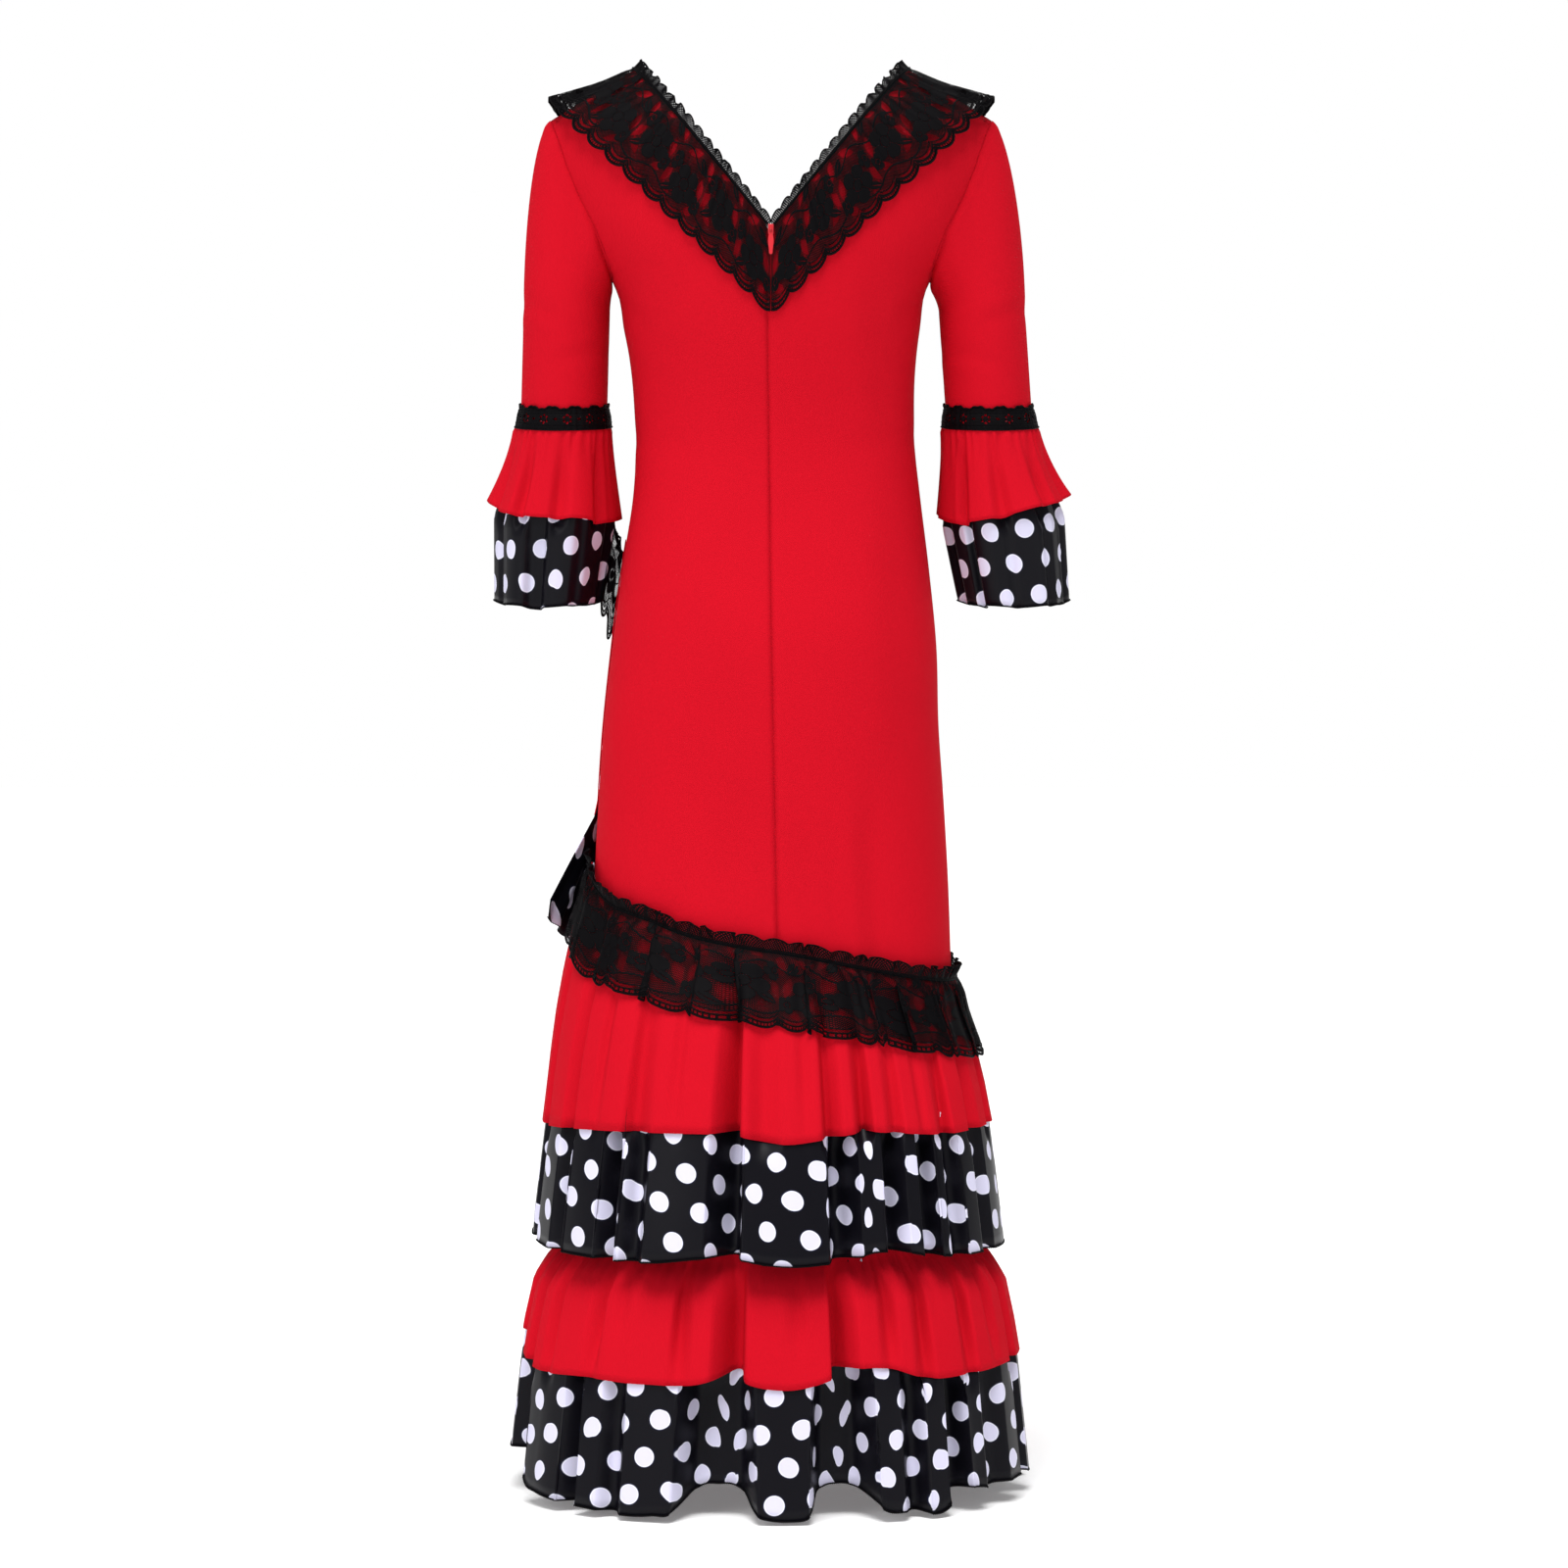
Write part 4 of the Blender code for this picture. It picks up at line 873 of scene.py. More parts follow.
def satin_material():
    """Black satin printed with staggered pale dots, each with a thin dark blue edge."""
    nodes = Nodes("spotted_satin")
    u, v = nodes.lengths()
    column = (u / DOT_COLUMNS + 0.5).floor()
    beside = u - column * DOT_COLUMNS
    shift = column.wrapped(2.0) * (DOT_ROWS / 2)
    row = ((v - shift) / DOT_ROWS + 0.5).floor()
    above = v - shift - row * DOT_ROWS
    away = (beside * beside + above * above).root()
    dot = away.within(DOT_RADIUS, 0.35)
    rim = away.within(DOT_RADIUS - 0.9, 0.5)
    halo = away.within(DOT_RADIUS + 0.9, 0.8)
    weave = nodes.noise(1400.0, 2.0)
    ground = nodes.mix(halo, colour(*SATIN), colour(*DOT_HALO))
    pale = nodes.mix(rim, colour(*DOT_RIM), colour(*DOT))
    tone = nodes.mix(dot, ground, pale)
    rough = weave * 0.1 + 0.34
    return nodes.surface(Base_Color=tone, Roughness=rough,
                         Normal=nodes.bump(weave, 0.04, 0.3), Specular_IOR_Level=0.11)


def flower(u, d, centre_u, centre_d, size, turn=0.6):
    """Cover of a flower with five round petals and an open ring about its eye."""
    across = u - centre_u
    up = d - centre_d
    away = (across * across + up * up).root()
    angle = up.angle_of(across)
    petal = (angle * 2.5 + turn).cosine().absolute().power(0.5)
    inside = away.within(petal * (0.42 * size) + 0.58 * size, 0.5)
    gap = (away - 0.30 * size).absolute().within(0.55, 0.3)
    split = petal.within(0.30, 0.08) * (1.0 - away.within(0.34 * size, 0.4))
    return inside * (1.0 - gap) * (1.0 - split)


def leaf(u, d, centre_u, centre_d, tilt, length, width, vein=0.35):
    """Cover of a pointed leaf with an open vein."""
    c, s = math.cos(tilt), math.sin(tilt)
    across = u - centre_u
    up = d - centre_d
    along = across * c + up * s
    side = (up * c - across * s).absolute()
    limit = (1.0 - (along / length) * (along / length)) * width
    inside = (side - limit).within(0.0, 0.5)
    return inside * (1.0 - side.within(vein, 0.2)) if vein else inside


def lace_material(name, width, windows):
    """Corded floral lace on a fine net.  u runs along it and d up from its scalloped edge."""
    nodes = Nodes(name)
    u, d = nodes.lengths()
    one = ((u + d) / NET_PITCH).wrapped(1.0)
    two = ((u - d) / NET_PITCH).wrapped(1.0)
    net = one.within(NET_SHARE, 0.2).most(two.within(NET_SHARE, 0.2))
    fine = one.within(FINE_NET_SHARE, 0.15).most(two.within(FINE_NET_SHARE, 0.15))
    scallop = ((u / SCALLOP_PITCH) * math.pi).sine().absolute()
    above = d - (1.0 - scallop.power(0.7)) * SCALLOP_DEPTH
    cell = (u / LACE_MOTIF).floor()
    here = u - cell * LACE_MOTIF
    high = d - cell.wrapped(2.0) * (width * 0.13)
    mirrored = (here - LACE_MOTIF / 2).absolute()
    bloom = flower(here, high, LACE_MOTIF * 0.5, width * 0.44, 17.5)
    small = flower(here, high, LACE_MOTIF * 0.93, width * 0.62, 9.0, 1.4)
    bud = flower(here, high, LACE_MOTIF * 0.12, width * 0.33, 8.0, 0.2)
    leaves = leaf(here, high, LACE_MOTIF * 0.26, width * 0.80, 0.7, 9.0, 3.6)
    leaves = leaves.most(leaf(here, high, LACE_MOTIF * 0.80, width * 0.27, -0.6, 9.0, 3.4))
    wave = ((u / LACE_MOTIF) * (2 * math.pi)).sine()
    stem = (d - width * 0.24 - wave * 4.0).absolute().within(0.8, 0.4)
    high_stem = (d - width * 0.80 + wave * 5.0).absolute().within(0.8, 0.4)
    outer = above.within(1.7, 0.4)
    middle = (above - 5.0).absolute().within(0.8, 0.4)
    inner = (above - 8.6).absolute().within(0.6, 0.4)
    bars = ((u / 2.3).wrapped(1.0) - 0.5).absolute().within(0.17, 0.1)
    border = above.within(8.6, 0.4)
    eyes = border * scallop.most(0.0).power(2.0).within(0.3, 0.2)
    open_leaf = leaf(here, high, LACE_MOTIF * 0.04, width * 0.82, 1.0, 11.0, 4.8, 0)
    open_leaf = open_leaf.most(leaf(here, high, LACE_MOTIF * 0.60, width * 0.86, -0.5, 10.5, 4.2, 0))
    open_leaf = open_leaf.most(leaf(here, high, LACE_MOTIF * 0.97, width * 0.36, -1.1, 10.5, 4.6, 0))
    open_leaf = open_leaf.most(leaf(here, high, LACE_MOTIF * 0.14, width * 0.55, 1.3, 9.5, 3.8, 0))
    open_leaf = open_leaf.most(leaf(mirrored, high, 15.0, width * 0.22, 0.7, 8.5, 3.6, 0))
    open_leaf = open_leaf * windows
    bare = (border * (1.0 - eyes)).most(open_leaf)
    ground = net * (1.0 - bare) + fine * bare
    solid = bloom.most(small).most(bud).most(leaves).most(stem).most(high_stem)
    solid = solid.most(outer).most(middle).most(inner * 0.8).most(bars * above.within(5.0, 0.4))
    heading = (width - d).within(0.0, 0.4)
    mesh_one = ((u + d) / HEADING_NET).wrapped(1.0).within(HEADING_SHARE, 0.15)
    mesh_two = ((u - d) / HEADING_NET).wrapped(1.0).within(HEADING_SHARE, 0.15)
    top_bar = (d - width).absolute().within(1.6, 0.4)
    body = solid.most(ground) * (1.0 - heading)
    cover = body.most(mesh_one.most(mesh_two) * heading).most(top_bar)
    thread = nodes.noise(1300.0, 3.0)
    height = solid * 0.7 + thread * 0.5
    return nodes.surface(Base_Color=colour(*LACE_TONE), Roughness=0.62, Alpha=cover,
                         Normal=nodes.bump(height, 0.4, 0.6), Specular_IOR_Level=0.05)


def band_material():
    """Narrow lace with groups of round eyelets."""
    nodes = Nodes("eyelet_lace")
    u, d = nodes.lengths()
    across = u.wrapped(EYELET_PITCH) - EYELET_PITCH / 2
    up = d - EYELET_RISE
    angle = up.angle_of(across)
    away = (across * across + up * up).root()
    turn = (angle / (2 * math.pi / 6)).wrapped(1.0) - 0.5
    turn = turn * (2 * math.pi / 6)
    hole_x = away * turn.cosine() - 3.6
    hole_y = away * turn.sine()
    hole = (hole_x * hole_x + hole_y * hole_y).root().within(1.25, 0.3)
    side_x = (across.absolute() - EYELET_PITCH / 2)
    slot = (side_x * side_x * 0.35 + up * up).root().within(1.1, 0.3)
    cover = (1.0 - hole) * (1.0 - slot)
    thread = nodes.noise(1300.0, 3.0)
    ribs = ((d / 1.4) * (2 * math.pi)).sine()
    return nodes.surface(Base_Color=colour(*LACE_TONE), Roughness=0.65, Alpha=cover,
                         Normal=nodes.bump(thread + ribs * 0.4, 0.35, 0.7),
                         Specular_IOR_Level=0.05)


def thread_material(name, tone):
    nodes = Nodes(name)
    twist = nodes.noise(1500.0, 2.0)
    return nodes.surface(Base_Color=colour(*tone), Roughness=0.6,
                         Normal=nodes.bump(twist, 0.2, 0.6), Specular_IOR_Level=0.05)


def enamel_material():
    nodes = Nodes("red_enamel")
    worn = nodes.noise(300.0, 3.0)
    rough = worn * 0.15 + 0.28
    return nodes.surface(Base_Color=colour(*ENAMEL), Roughness=rough, Coat_Weight=0.4,
                         Normal=nodes.bump(worn, 0.03, 0.3))


def backdrop_material():
    nodes = Nodes("pale_floor")
    grain = nodes.noise(2.0, 2.0)
    tone = nodes.mix(grain, colour(0.90, 0.90, 0.90), colour(0.93, 0.93, 0.93))
    return nodes.surface(Base_Color=tone, Roughness=0.9, Emission_Color=colour(1, 1, 1),
                         Emission_Strength=FLOOR_GLOW)


def stitch_tool():
    """Sews stitches of one size along a path."""
    group = bpy.data.node_groups.new("stitches", "GeometryNodeTree")
    face = group.interface
    face.new_socket("Path", in_out="INPUT", socket_type="NodeSocketGeometry")
    for key in ("Pitch", "Length", "Radius", "Slant"):
        face.new_socket(key, in_out="INPUT", socket_type="NodeSocketFloat")
    face.new_socket("Thread", in_out="INPUT", socket_type="NodeSocketMaterial")
    face.new_socket("Stitches", in_out="OUTPUT", socket_type="NodeSocketGeometry")
    node = group.nodes.new
    link = group.links.new
    start = node("NodeGroupInput")
    end = node("NodeGroupOutput")
    curve = node("GeometryNodeMeshToCurve")
    points = node("GeometryNodeCurveToPoints")
    points.mode = "LENGTH"
    one = node("GeometryNodeMeshCylinder")
    one.inputs["Vertices"].default_value = 6
    turned = node("FunctionNodeRotateRotation")
    turned.rotation_space = "LOCAL"
    slant = node("FunctionNodeAxisAngleToRotation")
    slant.inputs["Axis"].default_value = (0, 1, 0)
    placed = node("GeometryNodeInstanceOnPoints")
    real = node("GeometryNodeRealizeInstances")
    finish = node("GeometryNodeSetMaterial")
    link(start.outputs["Path"], curve.inputs["Mesh"])
    link(curve.outputs["Curve"], points.inputs["Curve"])
    link(start.outputs["Pitch"], points.inputs["Length"])
    link(start.outputs["Radius"], one.inputs["Radius"])
    link(start.outputs["Length"], one.inputs["Depth"])
    link(start.outputs["Slant"], slant.inputs["Angle"])
    link(points.outputs["Rotation"], turned.inputs["Rotation"])
    link(slant.outputs["Rotation"], turned.inputs["Rotate By"])
    link(points.outputs["Points"], placed.inputs["Points"])
    link(one.outputs["Mesh"], placed.inputs["Instance"])
    link(turned.outputs["Rotation"], placed.inputs["Rotation"])
    link(placed.outputs["Instances"], real.inputs["Geometry"])
    link(real.outputs["Geometry"], finish.inputs["Geometry"])
    link(start.outputs["Thread"], finish.inputs["Material"])
    link(finish.outputs["Geometry"], end.inputs["Stitches"])
    return group


def sew(name, paths, thread, pitch, length, radius, slant=0.0):
    """A row of stitches along each path, as one plain piece."""
    points, edges = [], []
    start = 0
    for path, closed in paths:
        count = len(path)
        points.extend((path * MM).tolist())
        edges.extend((start + i, start + (i + 1) % count) for i in range(count if closed else count - 1))
        start += count
    line = bpy.data.meshes.new(name + "_path")
    line.from_pydata(points, edges, [])
    piece = bpy.data.objects.new(name, line)
    bpy.context.scene.collection.objects.link(piece)
    tool = piece.modifiers.new("stitches", "NODES")
    tool.node_group = STITCHES
    values = {"Pitch": pitch * MM, "Length": length * MM, "Radius": radius * MM, "Slant": slant,
              "Thread": thread}
    for item in STITCHES.interface.items_tree:
        if item.name in values:
            tool[item.identifier] = values[item.name]
    bpy.context.view_layer.update()
    seen = bpy.context.evaluated_depsgraph_get()
    sewn = bpy.data.meshes.new_from_object(piece.evaluated_get(seen))
    piece.modifiers.clear()
    piece.data = sewn
    sewn.shade_smooth()
    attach(piece, "dress")
    return piece


def panel_rows(face, spacing):
    """Pairs of heights on the centre line and on the outer edge, from the hem up."""
    bottom_v = BACK_V if face < 0 else FRONT_V
    pairs = [(z, z) for z in BODY_ROWS]
    pairs.append(((bottom_v + BODY_ROWS[-1]) / 2 - 5, (ARMPIT[1] + BODY_ROWS[-1]) / 2 - 2))
    pairs.append((bottom_v, ARMPIT[1]))
    pairs.append((NECK_POINT[1], SHOULDER_POINT[1]))
    pairs = np.array(pairs, float)
    walked = np.concatenate([[0], np.cumsum(np.abs(np.diff(pairs, axis=0)).max(axis=1))])
    marks = sorted(set(np.arange(0, walked[-1], spacing)) | set(walked[-3:]))
    return np.stack([np.interp(marks, walked, pairs[:, 0]), np.interp(marks, walked, pairs[:, 1])], 1)


def half_panel(side, face, inner_gap, columns, spacing):
    """Points on one quarter of the body, from its centre line out to the side seam."""
    bottom_v = BACK_V if face < 0 else FRONT_V
    grid = []
    for z_in, z_out in panel_rows(face, spacing):
        if z_in <= bottom_v:
            x_in = np.interp(z_in, CENTRE_SEAM_Z, CENTRE_SEAM_X) * (face < 0) + side * inner_gap
        else:
            x_in = side * (NECK_POINT[0] * (z_in - bottom_v) / (NECK_POINT[1] - bottom_v))
            x_in += side * inner_gap
        centre = float(section("centre", z_out))
        half = float(section("half_width", z_out))
        x_out = centre + side * half
        if z_out > ARMPIT[1]:
            x_out = side * np.interp(z_out, ARMHOLE_Z, ARMHOLE_X)
        turn_in = math.asin(np.clip(side * (x_in - centre) / half, -1, 1))
        turn_out = math.asin(np.clip(side * (x_out - centre) / half, -1, 1))
        share = np.linspace(0, 1, columns + 1) ** SEAM_CROWDING
        turn = turn_in + (turn_out - turn_in) * share
        x = centre + side * half * np.sin(turn)
        z = z_in + (z_out - z_in) * (x - x_in) / (x_out - x_in)
        grid.append(stack(x, body_depth(x, z, face) - face * SIDE_LAP, z))
    return np.array(grid)


def creased(grid, creases):
    """Depth of soft folds at the points of a grid; a crease is a line on x and z."""
    x, z = grid[..., 0], grid[..., 2]
    depth = np.zeros(x.shape)
    for fold in creases:
        along = np.array([fold.x1 - fold.x0, fold.z1 - fold.z0], float)
        length = np.hypot(*along)
        along /= length
        t = ((x - fold.x0) * along[0] + (z - fold.z0) * along[1]) / length
        off = (x - fold.x0) * along[1] - (z - fold.z0) * along[0]
        fade = smoothstep(-0.25, 0.2, t) * smoothstep(1.25, 0.8, t)
        shape = np.exp(-(off / fold.width) ** 2)
        shape -= 0.45 * np.exp(-((off - 1.6 * fold.width) / fold.width) ** 2)
        depth -= fold.depth * fade * shape
    return depth


def body_lengths(grid, side):
    """Lengths across the panel from its centre line and down it."""
    step = np.linalg.norm(np.diff(grid, axis=1), axis=-1)
    u = side * np.concatenate([np.zeros((len(grid), 1)), np.cumsum(step, axis=1)], axis=1)
    return u, -grid[..., 2]


def build_panels():
    for name, side in (("back_left", -1), ("back_right", 1)):
        grid = half_panel(side, -1, -CENTRE_LAP, BACK_COLUMNS, BACK_SPACING)
        lengths = body_lengths(grid, side)
        off = np.abs(lengths[0])
        z = grid[..., 2]
        seam = -SEAM_SINK * np.exp(-(off / 1.4) ** 2) + 0.35 * np.exp(-((off - 7) / 4) ** 2)
        seam += 0.18 * ripple(z / 1100, 84, side) * np.exp(-(off / 5) ** 2)
        edge = np.abs(lengths[0] - lengths[0][:, -1:])
        seam -= 0.3 * np.exp(-(edge / 2) ** 2)
        grid = relief(grid, False, seam + creased(grid, BACK_CREASES), (0, 0, 0))
        piece = add_cloth(name, [grid], False, CLOTH_SHOWN, KNIT, [lengths])
        declare(name)
    halves, sizes = [], []
    for side in (-1, 1):
        grid = half_panel(side, 1, 0, FRONT_COLUMNS, FRONT_SPACING)
        lengths = body_lengths(grid, side)
        edge = np.abs(lengths[0] - lengths[0][:, -1:])
        seam = -0.3 * np.exp(-(edge / 2) ** 2)
        grid = relief(grid, False, seam + creased(grid, FRONT_CREASES), (0, 0, 0))
        grid[:, 0, 0] = np.where(np.abs(grid[:, 0, 0]) < 0.5, 0, grid[:, 0, 0])
        halves.append(grid)
        sizes.append(lengths)
    piece = add_cloth("front", halves, False, CLOTH_SHOWN, KNIT, sizes)
    declare("front")


def build_sleeve(side_name, arm):
    turn = np.radians(np.arange(96) * 3.75)
    start = armhole(arm.side, turn)
    ease = SHOULDER_EASE * np.maximum(np.cos(turn), 0) ** 2
    start[:, 0] += arm.side * (SEAM_GAP * 0.5 + ease)
    start[:, 2] -= SEAM_GAP * (1 - np.cos(turn)) / 2
    end = tube_ring(arm, turn, TUBE_TOP)
    low = ((1 - np.cos(turn)) / 2)[:, None]
    leave = np.array(SLEEVE_LEAVE) * (arm.side, 1, 1) * (1 - low) + np.array(ARMPIT_LEAVE) * low
    arrive = np.array([0, 0, 1.0]) * np.maximum(start[:, 2:] - end[:, 2:], 10) * 0.42
    rings = []
    for t in np.linspace(0, 1, 44):
        rings.append(start * (1 - t) ** 3 + (start + leave) * 3 * t * (1 - t) ** 2
                     + (end + arrive) * 3 * t * t * (1 - t) + end * t ** 3)
    foot = tilted(tube_ring(arm, turn, CUFF_SEAM - 1.5), turn, TUBE_RADIUS_Y)
    for t in np.linspace(0, 1, 26)[1:]:
        rings.append(end + (foot - end) * t)
    grid = np.array(rings)
    u, v = cloth_lengths(grid, True)
    first = v[:, :-1]
    seam = -0.35 * np.exp(-(first / 2) ** 2) + 0.45 * np.exp(-((first - 8) / 4) ** 2)
    folds = creased(grid, SLEEVE_CREASES[side_name]) * (grid[..., 1] < 15)
    grid = relief(grid, True, seam + folds)
    tucked = []
    for inwards in ALLOWANCE_RINGS:
        ring = armhole(arm.side, turn)
        ring[:, 0] -= arm.side * inwards
        face = np.where(np.sin(turn) > 0, -1, 1)
        depth = np.where(face < 0, body_depth(ring[:, 0], ring[:, 2], -1),
                         body_depth(ring[:, 0], ring[:, 2], 1))
        ring[:, 1] = depth - face * ALLOWANCE_INSIDE * np.abs(np.sin(turn))
        ring[:, 2] -= ALLOWANCE_INSIDE * np.cos(turn)
        tucked.append(ring)
    grid = np.concatenate([np.array(tucked), grid])
    u, v = cloth_lengths(grid, True)
    piece = add_cloth("sleeve_" + side_name, [grid], True, CLOTH_SHOWN, KNIT, [(u, v)], None)
    declare("sleeve_" + side_name)


def ring_folds(folds, turn):
    """Depth of the folds round a cuff, in mm."""
    degrees = np.degrees(turn)
    depth = np.zeros(len(turn))
    for fold in folds:
        away = (degrees - fold.turn + 180) % 360 - 180
        depth += fold.depth * (1 - smoothstep(fold.flat, 1, np.abs(away) / fold.half_width))
    return depth


def fine_cuff_rows(arm, turn, drops, layer, settled, folds=None, inner=None, kind_rise=None):
    """Rows of a gathered cuff flounce at any angles; folds and inner are depths round it."""
    rows = []
    for drop in drops:
        z = CUFF_SEAM - drop
        flare = np.interp(drop, [0, RED_CUFF_LENGTH, DOT_CUFF_LENGTH], [0, 1, 2])
        shape = min(flare, 1) ** 1.15
        beyond = max(flare - 1, 0)
        centre_x = np.interp(shape + beyond, [0, 1, 2], [arm.cuff_x, arm.red_hem_x, arm.dot_hem_x])
        grown = np.interp(shape + beyond, [0, 1, 2],
                          [0, arm.red_radius - TUBE_RADIUS_X, arm.dot_radius - TUBE_RADIUS_X])
        wave = CUFF_WAVE_SHOWN * min(flare, 1) * np.cos(CUFF_WAVES * turn + 0.6)
        if folds is not None:
            deep = folds * smoothstep(6, 70, drop)
            if inner is not None:
                own = smoothstep(RED_CUFF_LENGTH - 50, RED_CUFF_LENGTH + 10, drop)
                covered = smoothstep(RED_CUFF_LENGTH + 12, RED_CUFF_LENGTH - 4, drop)
                deep = np.maximum(deep * covered, inner * own)
            wave = wave + 2.2 * min(flare, 1) - deep
        if kind_rise is not None:
            z = z + kind_rise * (drop / RED_CUFF_LENGTH) ** 2
        out = grown + wave + layer * (CLOTH_SHOWN + 0.3) + CUFF_LOOSE
        out -= settled * smoothstep(0, CUFF_SETTLED, drop)
        x = centre_x + arm.side * (TUBE_RADIUS_X + out) * np.cos(turn)
        y = arm_centre(arm, z)[1] - (TUBE_RADIUS_Y + out) * np.sin(turn)
        rows.append(tilted(stack(x, y, z + 0.35 * wave), turn, TUBE_RADIUS_Y + out))
    return rows


def build_cuffs(side_name, arm):
    count = CUFF_COLUMNS
    turn = np.radians(np.arange(count) * 360 / count)
    share = np.arange(count) / count
    seed = 1.0 if arm.side < 0 else 2.4
    red_folds = ring_folds(CUFF_RED_FOLDS[side_name], turn)
    dot_folds = ring_folds(CUFF_DOT_FOLDS[side_name], turn)
    for kind, layer, length, finish in (("red", 2, RED_CUFF_LENGTH, KNIT),
                                        ("dot", 1, DOT_CUFF_LENGTH, SATIN_CLOTH)):
        drops = np.linspace(0, length, CUFF_ROWS[kind])
        if kind == "red":
            outer = (1 + np.cos(turn)) / 2
            lift = CUFF_HEM_RISE[side_name] * outer ** 2 + 2.5 * np.cos(3 * turn + seed)
            grid = fine_cuff_rows(arm, turn, drops, layer, 0, red_folds, None, lift)
        else:
            grid = fine_cuff_rows(arm, turn, drops, layer, LAYER_GAP, red_folds, dot_folds)
        grid = np.array(grid)
        down = drops[:, None]
        if kind == "red":
            tuck = smoothstep(5, 13, down) * np.exp(-np.maximum(down - 12, 0) / 17)
            shape = 1.6 * tuck * (ripple(share, 30, seed) + 0.4)
            shape = shape + 0.4 * smoothstep(40, 90, down) * ripple(share, 9, seed)
        else:
            shape = 0.3 * smoothstep(70, 150, down) * ripple(share, 11, seed + 1)
        grid = relief(grid, True, shape)
        lengths = cloth_lengths(grid, True)
        name = "cuff_" + kind + "_" + side_name
        marks = lengths if kind == "red" else turned(lengths, CUFF_BIAS * arm.side)
        piece = add_cloth(name, [grid], True, CLOTH_SHOWN, finish, [marks], None)
        extra = []
        if kind == "dot":
            extra = [hem_overlock(name + "_overlock", grid[-1], True)]
        declare(name)
    build_band(side_name, arm, turn, share, seed)


def build_band(side_name, arm, turn, share, seed):
    """Narrow lace over the cuff's seam, with a wavy upper edge."""
    thickness = LACE_WALL + SEAM_GAP
    band_layer = 2 + thickness / (CLOTH_SHOWN + 0.3) + 0.1
    rows = []
    for drop in np.linspace(-BAND_ABOVE, BAND_BELOW, BAND_ROWS):
        ring = fine_cuff_rows(arm, turn, [max(drop, 0)], band_layer, 0)[0]
        if drop < 0:
            high = tilted(tube_ring(arm, turn, CUFF_SEAM - drop, thickness + 0.2), turn, TUBE_RADIUS_Y)
            mix = smoothstep(-BAND_ABOVE, 0, drop)
            high[:, :2] += (ring[:, :2] - high[:, :2]) * mix
            ring = high
        rows.append(ring)
    grid = np.array(rows)
    u, v = cloth_lengths(grid, True)
    stretch = round(u[0, -1] / EYELET_PITCH) * EYELET_PITCH / u[0, -1]
    u = u * stretch
    grid[0, :, 2] += 1.3 * np.cos(u[0, :-1] * 2 * math.pi / EYELET_PITCH + 1.2)
    grid[0, :, 2] += 0.5 * np.cos(u[0, :-1] * 6 * math.pi / EYELET_PITCH)
    up = BAND_ABOVE + BAND_BELOW - v
    grid = relief(grid, True, 0.25 * ripple(share, 48, seed))
    name = "sleeve_band_" + side_name
    piece = add_cloth(name, [grid], True, LACE_SHOWN, EYELET_LACE, [(u, up)], None)
    cords = [(grid[0], 0.8, True), (grid[3], 0.45, True), (grid[11], 0.45, True),
             (grid[-1], 0.8, True)]
    cord = add_cords(name + "_cord", cords, CORD)
    declare(name)


def hem_overlock(name, path, closed):
    """The overlocked edge of a spotted flounce: a thin roll with slanted thread over it."""
    roll = add_cords(name, [(path, 0.75, closed)], THREAD_BLACK)
    loops = sew(name + "_loops", [(path, closed)], THREAD_BLACK, 1.9, 2.6, 0.28, 1.0)
    OVERLOCKS.append(loops)
    return roll


def tier_grid(tier, layer, degrees, drops, under, core):
    """Rows of a flounce; a lower layer lies closer where the tier is caught in the side seam."""
    grid = []
    gap = LAYER_GAP_SHOWN - CLOTH_WALL - SEAM_GAP
    free = smoothstep(-HIP_SEAM[-1][0] + 2, HIP_FREE, -degrees) if tier is HIP else 1
    for drop in drops:
        inset = under * (CLOTH_WALL + SEAM_GAP + gap * smoothstep(0, LAYER_DROP, drop) * free)
        grid.append(tier_points(tier, layer, degrees, drop, inset, core))
    return np.array(grid)


def build_flounces(prefix, tier, degrees, closed, core, lengths, waves, seed, gather, bias):
    """The red flounce of a tier and the spotted one that hangs below it."""
    red_length, dot_length = lengths
    red_waves, dot_waves = waves
    drops = np.linspace(0, 1, RED_ROWS)[:, None] * red_length
    grid = tier_grid(tier, Flounce(red_waves), degrees, drops, 0, core)
    u, v = cloth_lengths(grid, closed)
    share = u[:, :grid.shape[1]] / u[0, -1]
    waist = u[0, -1]
    fine = gather * smoothstep(6, 24, drops) * np.exp(-np.maximum(drops - 28, 0) / 17)
    shape = fine * (ripple(share, round(waist / 14), seed) - 0.4)
    shape = shape + 0.5 * smoothstep(60, 180, drops) * ripple(share, round(waist / 75), seed)
    red = relief(grid, closed, shape, (0, 0, 0))
    start = red_length - SHOWN_FROM
    hidden = np.linspace(0, 1, HIDDEN_ROWS)[:, None] * start
    shown = start + np.linspace(0, 1, SHOWN_ROWS)[1:, None] * (dot_length - start)
    dot_drops = np.concatenate([hidden, shown])
    layer = Flounce(dot_waves, red_waves, red_length)
    grid = tier_grid(tier, layer, degrees, dot_drops, 1, core)
    below = smoothstep(-10, 50, dot_drops - red_length)
    shape = 0.5 * below * ripple(share[:1], round(waist / 70), seed + 2)
    dot = relief(grid, closed, shape, (0, 0, 0))
    dot_lengths = cloth_lengths(dot, closed)
    for kind, made, finish, marks in (
            ("_red", red, KNIT, (u, v)),
            ("_dot", dot, SATIN_CLOTH, turned(dot_lengths, bias))):
        name = prefix + kind
        piece = add_cloth(name, [made], closed, CLOTH_SHOWN, finish, [marks])
        extra = [hem_overlock(name + "_overlock", made[-1], closed)] if kind == "_dot" else []
        declare(name)


